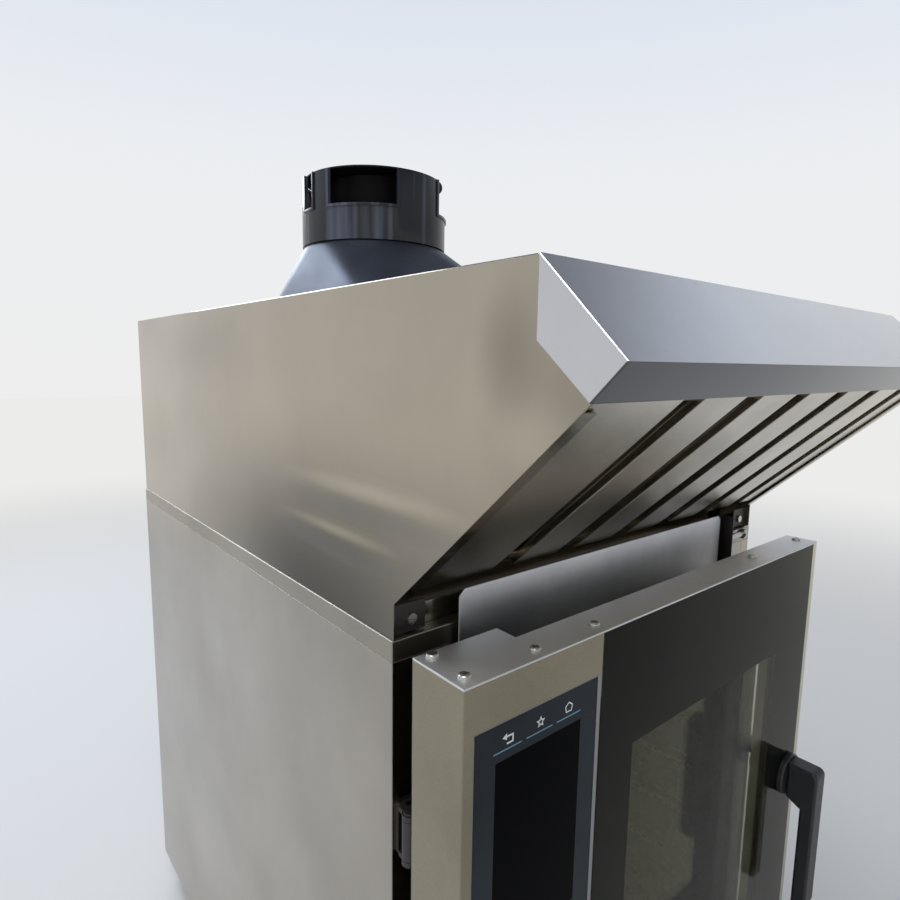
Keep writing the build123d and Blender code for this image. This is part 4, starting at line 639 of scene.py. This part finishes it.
def at_frame(spot):
    """Tells whether a place on the wall's outer face lies in the frame around a window."""
    outside = hypot(spot.x - chimney_x, spot.y - chimney_y) > chimney_radius - outer_skin
    return outside and spot.z > frame_foot and at_window(spot)


chimney_wall = upright_cylinder("chimney_wall", 180, chimney_radius, ring_low.z, ring_high.z,
                                ends="NOTHING")
edit(chimney_wall, "SELECT")
bpy.ops.mesh.bisect(plane_co=(0, 0, frame_foot), plane_no=(0, 0, 1))
pick(chimney_wall, "FACE", lambda spot: spot.z > frame_foot and at_window(spot))
bpy.ops.mesh.inset(thickness=frame_width, depth=0, use_boundary=False)
bpy.ops.mesh.delete(type="FACE")
only(chimney_wall)
thicken(chimney_wall, wall_thickness, offset=-1)
edit(chimney_wall)
pick(chimney_wall, "FACE", at_frame)
bpy.ops.mesh.extrude_region_shrink_fatten(TRANSFORM_OT_shrink_fatten={"value": frame_rise})
bpy.ops.mesh.select_all(action="SELECT")
bpy.ops.mesh.normals_make_consistent(inside=False)
only(chimney_wall)
soften(chimney_wall, width=0.4 * MM, segments=2)
finish_piece(chimney_wall, chimney_plastic, "oven")
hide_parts("chimney_ring")

# Lid: a disc that ends inside the wall, with the core that hangs from it
lid_radius = chimney_radius - 3 * MM
lid_foot = cap_high.z - 2 * MM
core_radius = 46 * MM
core_length = 26 * MM
chimney_lid = upright_cylinder("chimney_lid", 120, lid_radius, lid_foot, cap_high.z, ends="NGON")
edit(chimney_lid)
pick(chimney_lid, "FACE", lambda spot: spot.z < lid_foot + 0.1 * MM)
bpy.ops.mesh.inset(thickness=lid_radius - core_radius, depth=0)
bpy.ops.mesh.extrude_region_move(TRANSFORM_OT_translate={"value": (0, 0, -core_length)})
only(chimney_lid)
soften(chimney_lid, width=0.6 * MM, segments=3)
finish_piece(chimney_lid, lid_near_black, "oven")
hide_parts("chimney_cap")

# Floor
bpy.ops.object.select_all(action="DESELECT")
bpy.ops.mesh.primitive_plane_add(size=30, location=(0, 0, -0.5 * MM))
floor = bpy.context.active_object
floor.name = "studio_floor"
floor_paint, floor_shader = new_material("floor_paint", (0.76, 0.75, 0.73), roughness=0.7)
floor.data.materials.append(floor_paint)

# Far from the oven the floor turns into a pale backdrop, for the camera and for what mirrors it
haze = add_node(floor_paint, "ShaderNodeEmission", Color=(0.84, 0.84, 0.83, 1))
ray = add_node(floor_paint, "ShaderNodeLightPath")
seen = combined(floor_paint, "MAXIMUM", ray.outputs["Is Camera Ray"],
                ray.outputs["Is Glossy Ray"])
seen = combined(floor_paint, "MAXIMUM", seen, ray.outputs["Is Transmission Ray"])
far = graded(floor_paint, distance(floor_paint), 0.0, 1.0, start=0.6, end=4.5,
             curve="SMOOTHSTEP")
blend = add_node(floor_paint, "ShaderNodeMixShader")
floor_surface = floor_paint.node_tree.nodes["Material Output"].inputs["Surface"]
join(floor_paint, combined(floor_paint, "MULTIPLY", far, seen), blend.inputs["Fac"])
join(floor_paint, floor_shader.outputs["BSDF"], blend.inputs[1])
join(floor_paint, haze.outputs["Emission"], blend.inputs[2])
join(floor_paint, blend.outputs["Shader"], floor_surface)

# Air: pale near the horizon, greyer overhead and towards the user's side
world = bpy.context.scene.world or bpy.data.worlds.new("studio")
bpy.context.scene.world = world
world.use_nodes = True
direction = add_node(world, "ShaderNodeTexCoord").outputs["Generated"]
direction_parts = add_node(world, "ShaderNodeSeparateXYZ")
join(world, direction, direction_parts.inputs["Vector"])
height_tone = colour_ramp(
    world, direction_parts.outputs["Z"],
    (0.0, (0.95, 0.95, 0.95)), (1.0, (0.26, 0.29, 0.36)),
    (0.28, (0.93, 0.95, 0.98)), (0.48, (0.80, 0.86, 0.96)), (0.60, (0.30, 0.32, 0.36)))
frontal = add_node(world, "ShaderNodeVectorMath", operation="DOT_PRODUCT")
frontal.inputs[1].default_value = Vector((0.45, -0.89, 0)).normalized()
join(world, direction, frontal.inputs[0])
front_tone = graded(world, frontal.outputs["Value"], 1.0, 0.60, start=0.2, end=0.9,
                    curve="SMOOTHSTEP")
background = world.node_tree.nodes["Background"]
background.inputs["Strength"].default_value = 0.9
join(world, multiplied(world, height_tone, front_tone), background.inputs["Color"])


def soft_light(name, place, aim, width, height, power, colour=(1, 1, 1)):
    """A large rectangular lamp at place that looks at aim."""
    lamp = bpy.data.lights.new(name, "AREA")
    lamp.shape = "RECTANGLE"
    lamp.size = width
    lamp.size_y = height
    lamp.energy = power
    lamp.color = colour
    holder = bpy.data.objects.new(name, lamp)
    holder.location = place
    holder.rotation_mode = "QUATERNION"
    holder.rotation_quaternion = (Vector(aim) - Vector(place)).to_track_quat("-Z", "Y")
    holder.visible_camera = False
    bpy.context.scene.collection.objects.link(holder)


soft_light("key_light", (-1.1, -0.75, 3.1), (-0.1, -0.2, 0.8), width=1.5, height=1.5, power=34)
soft_light("rim_light", (-0.5, 2.4, 2.3), (-0.2, 0, 0.8), width=1.9, height=1.4, power=44,
           colour=(0.80, 0.88, 1.0))

# Camera, solved from the straight edges in the photograph
camera = bpy.data.cameras.new("photo_camera")
camera.sensor_width = 36
camera.lens = 24.90
camera.clip_start = 0.02
viewer = bpy.data.objects.new("photo_camera", camera)
viewpoint = Vector((-0.5015, -0.6779, 0.8440))
sight_right = Vector((0.77296, -0.63430, 0.01419))
sight_up = Vector((0.07673, 0.11566, 0.99032))
sight_ahead = Vector((0.62980, 0.76439, -0.13806))
sight = Matrix((sight_right, sight_up, -sight_ahead)).transposed()
viewer.matrix_world = Matrix.Translation(viewpoint) @ sight.to_4x4()
bpy.context.scene.collection.objects.link(viewer)
bpy.context.scene.camera = viewer
bpy.context.scene.view_settings.view_transform = "Standard"
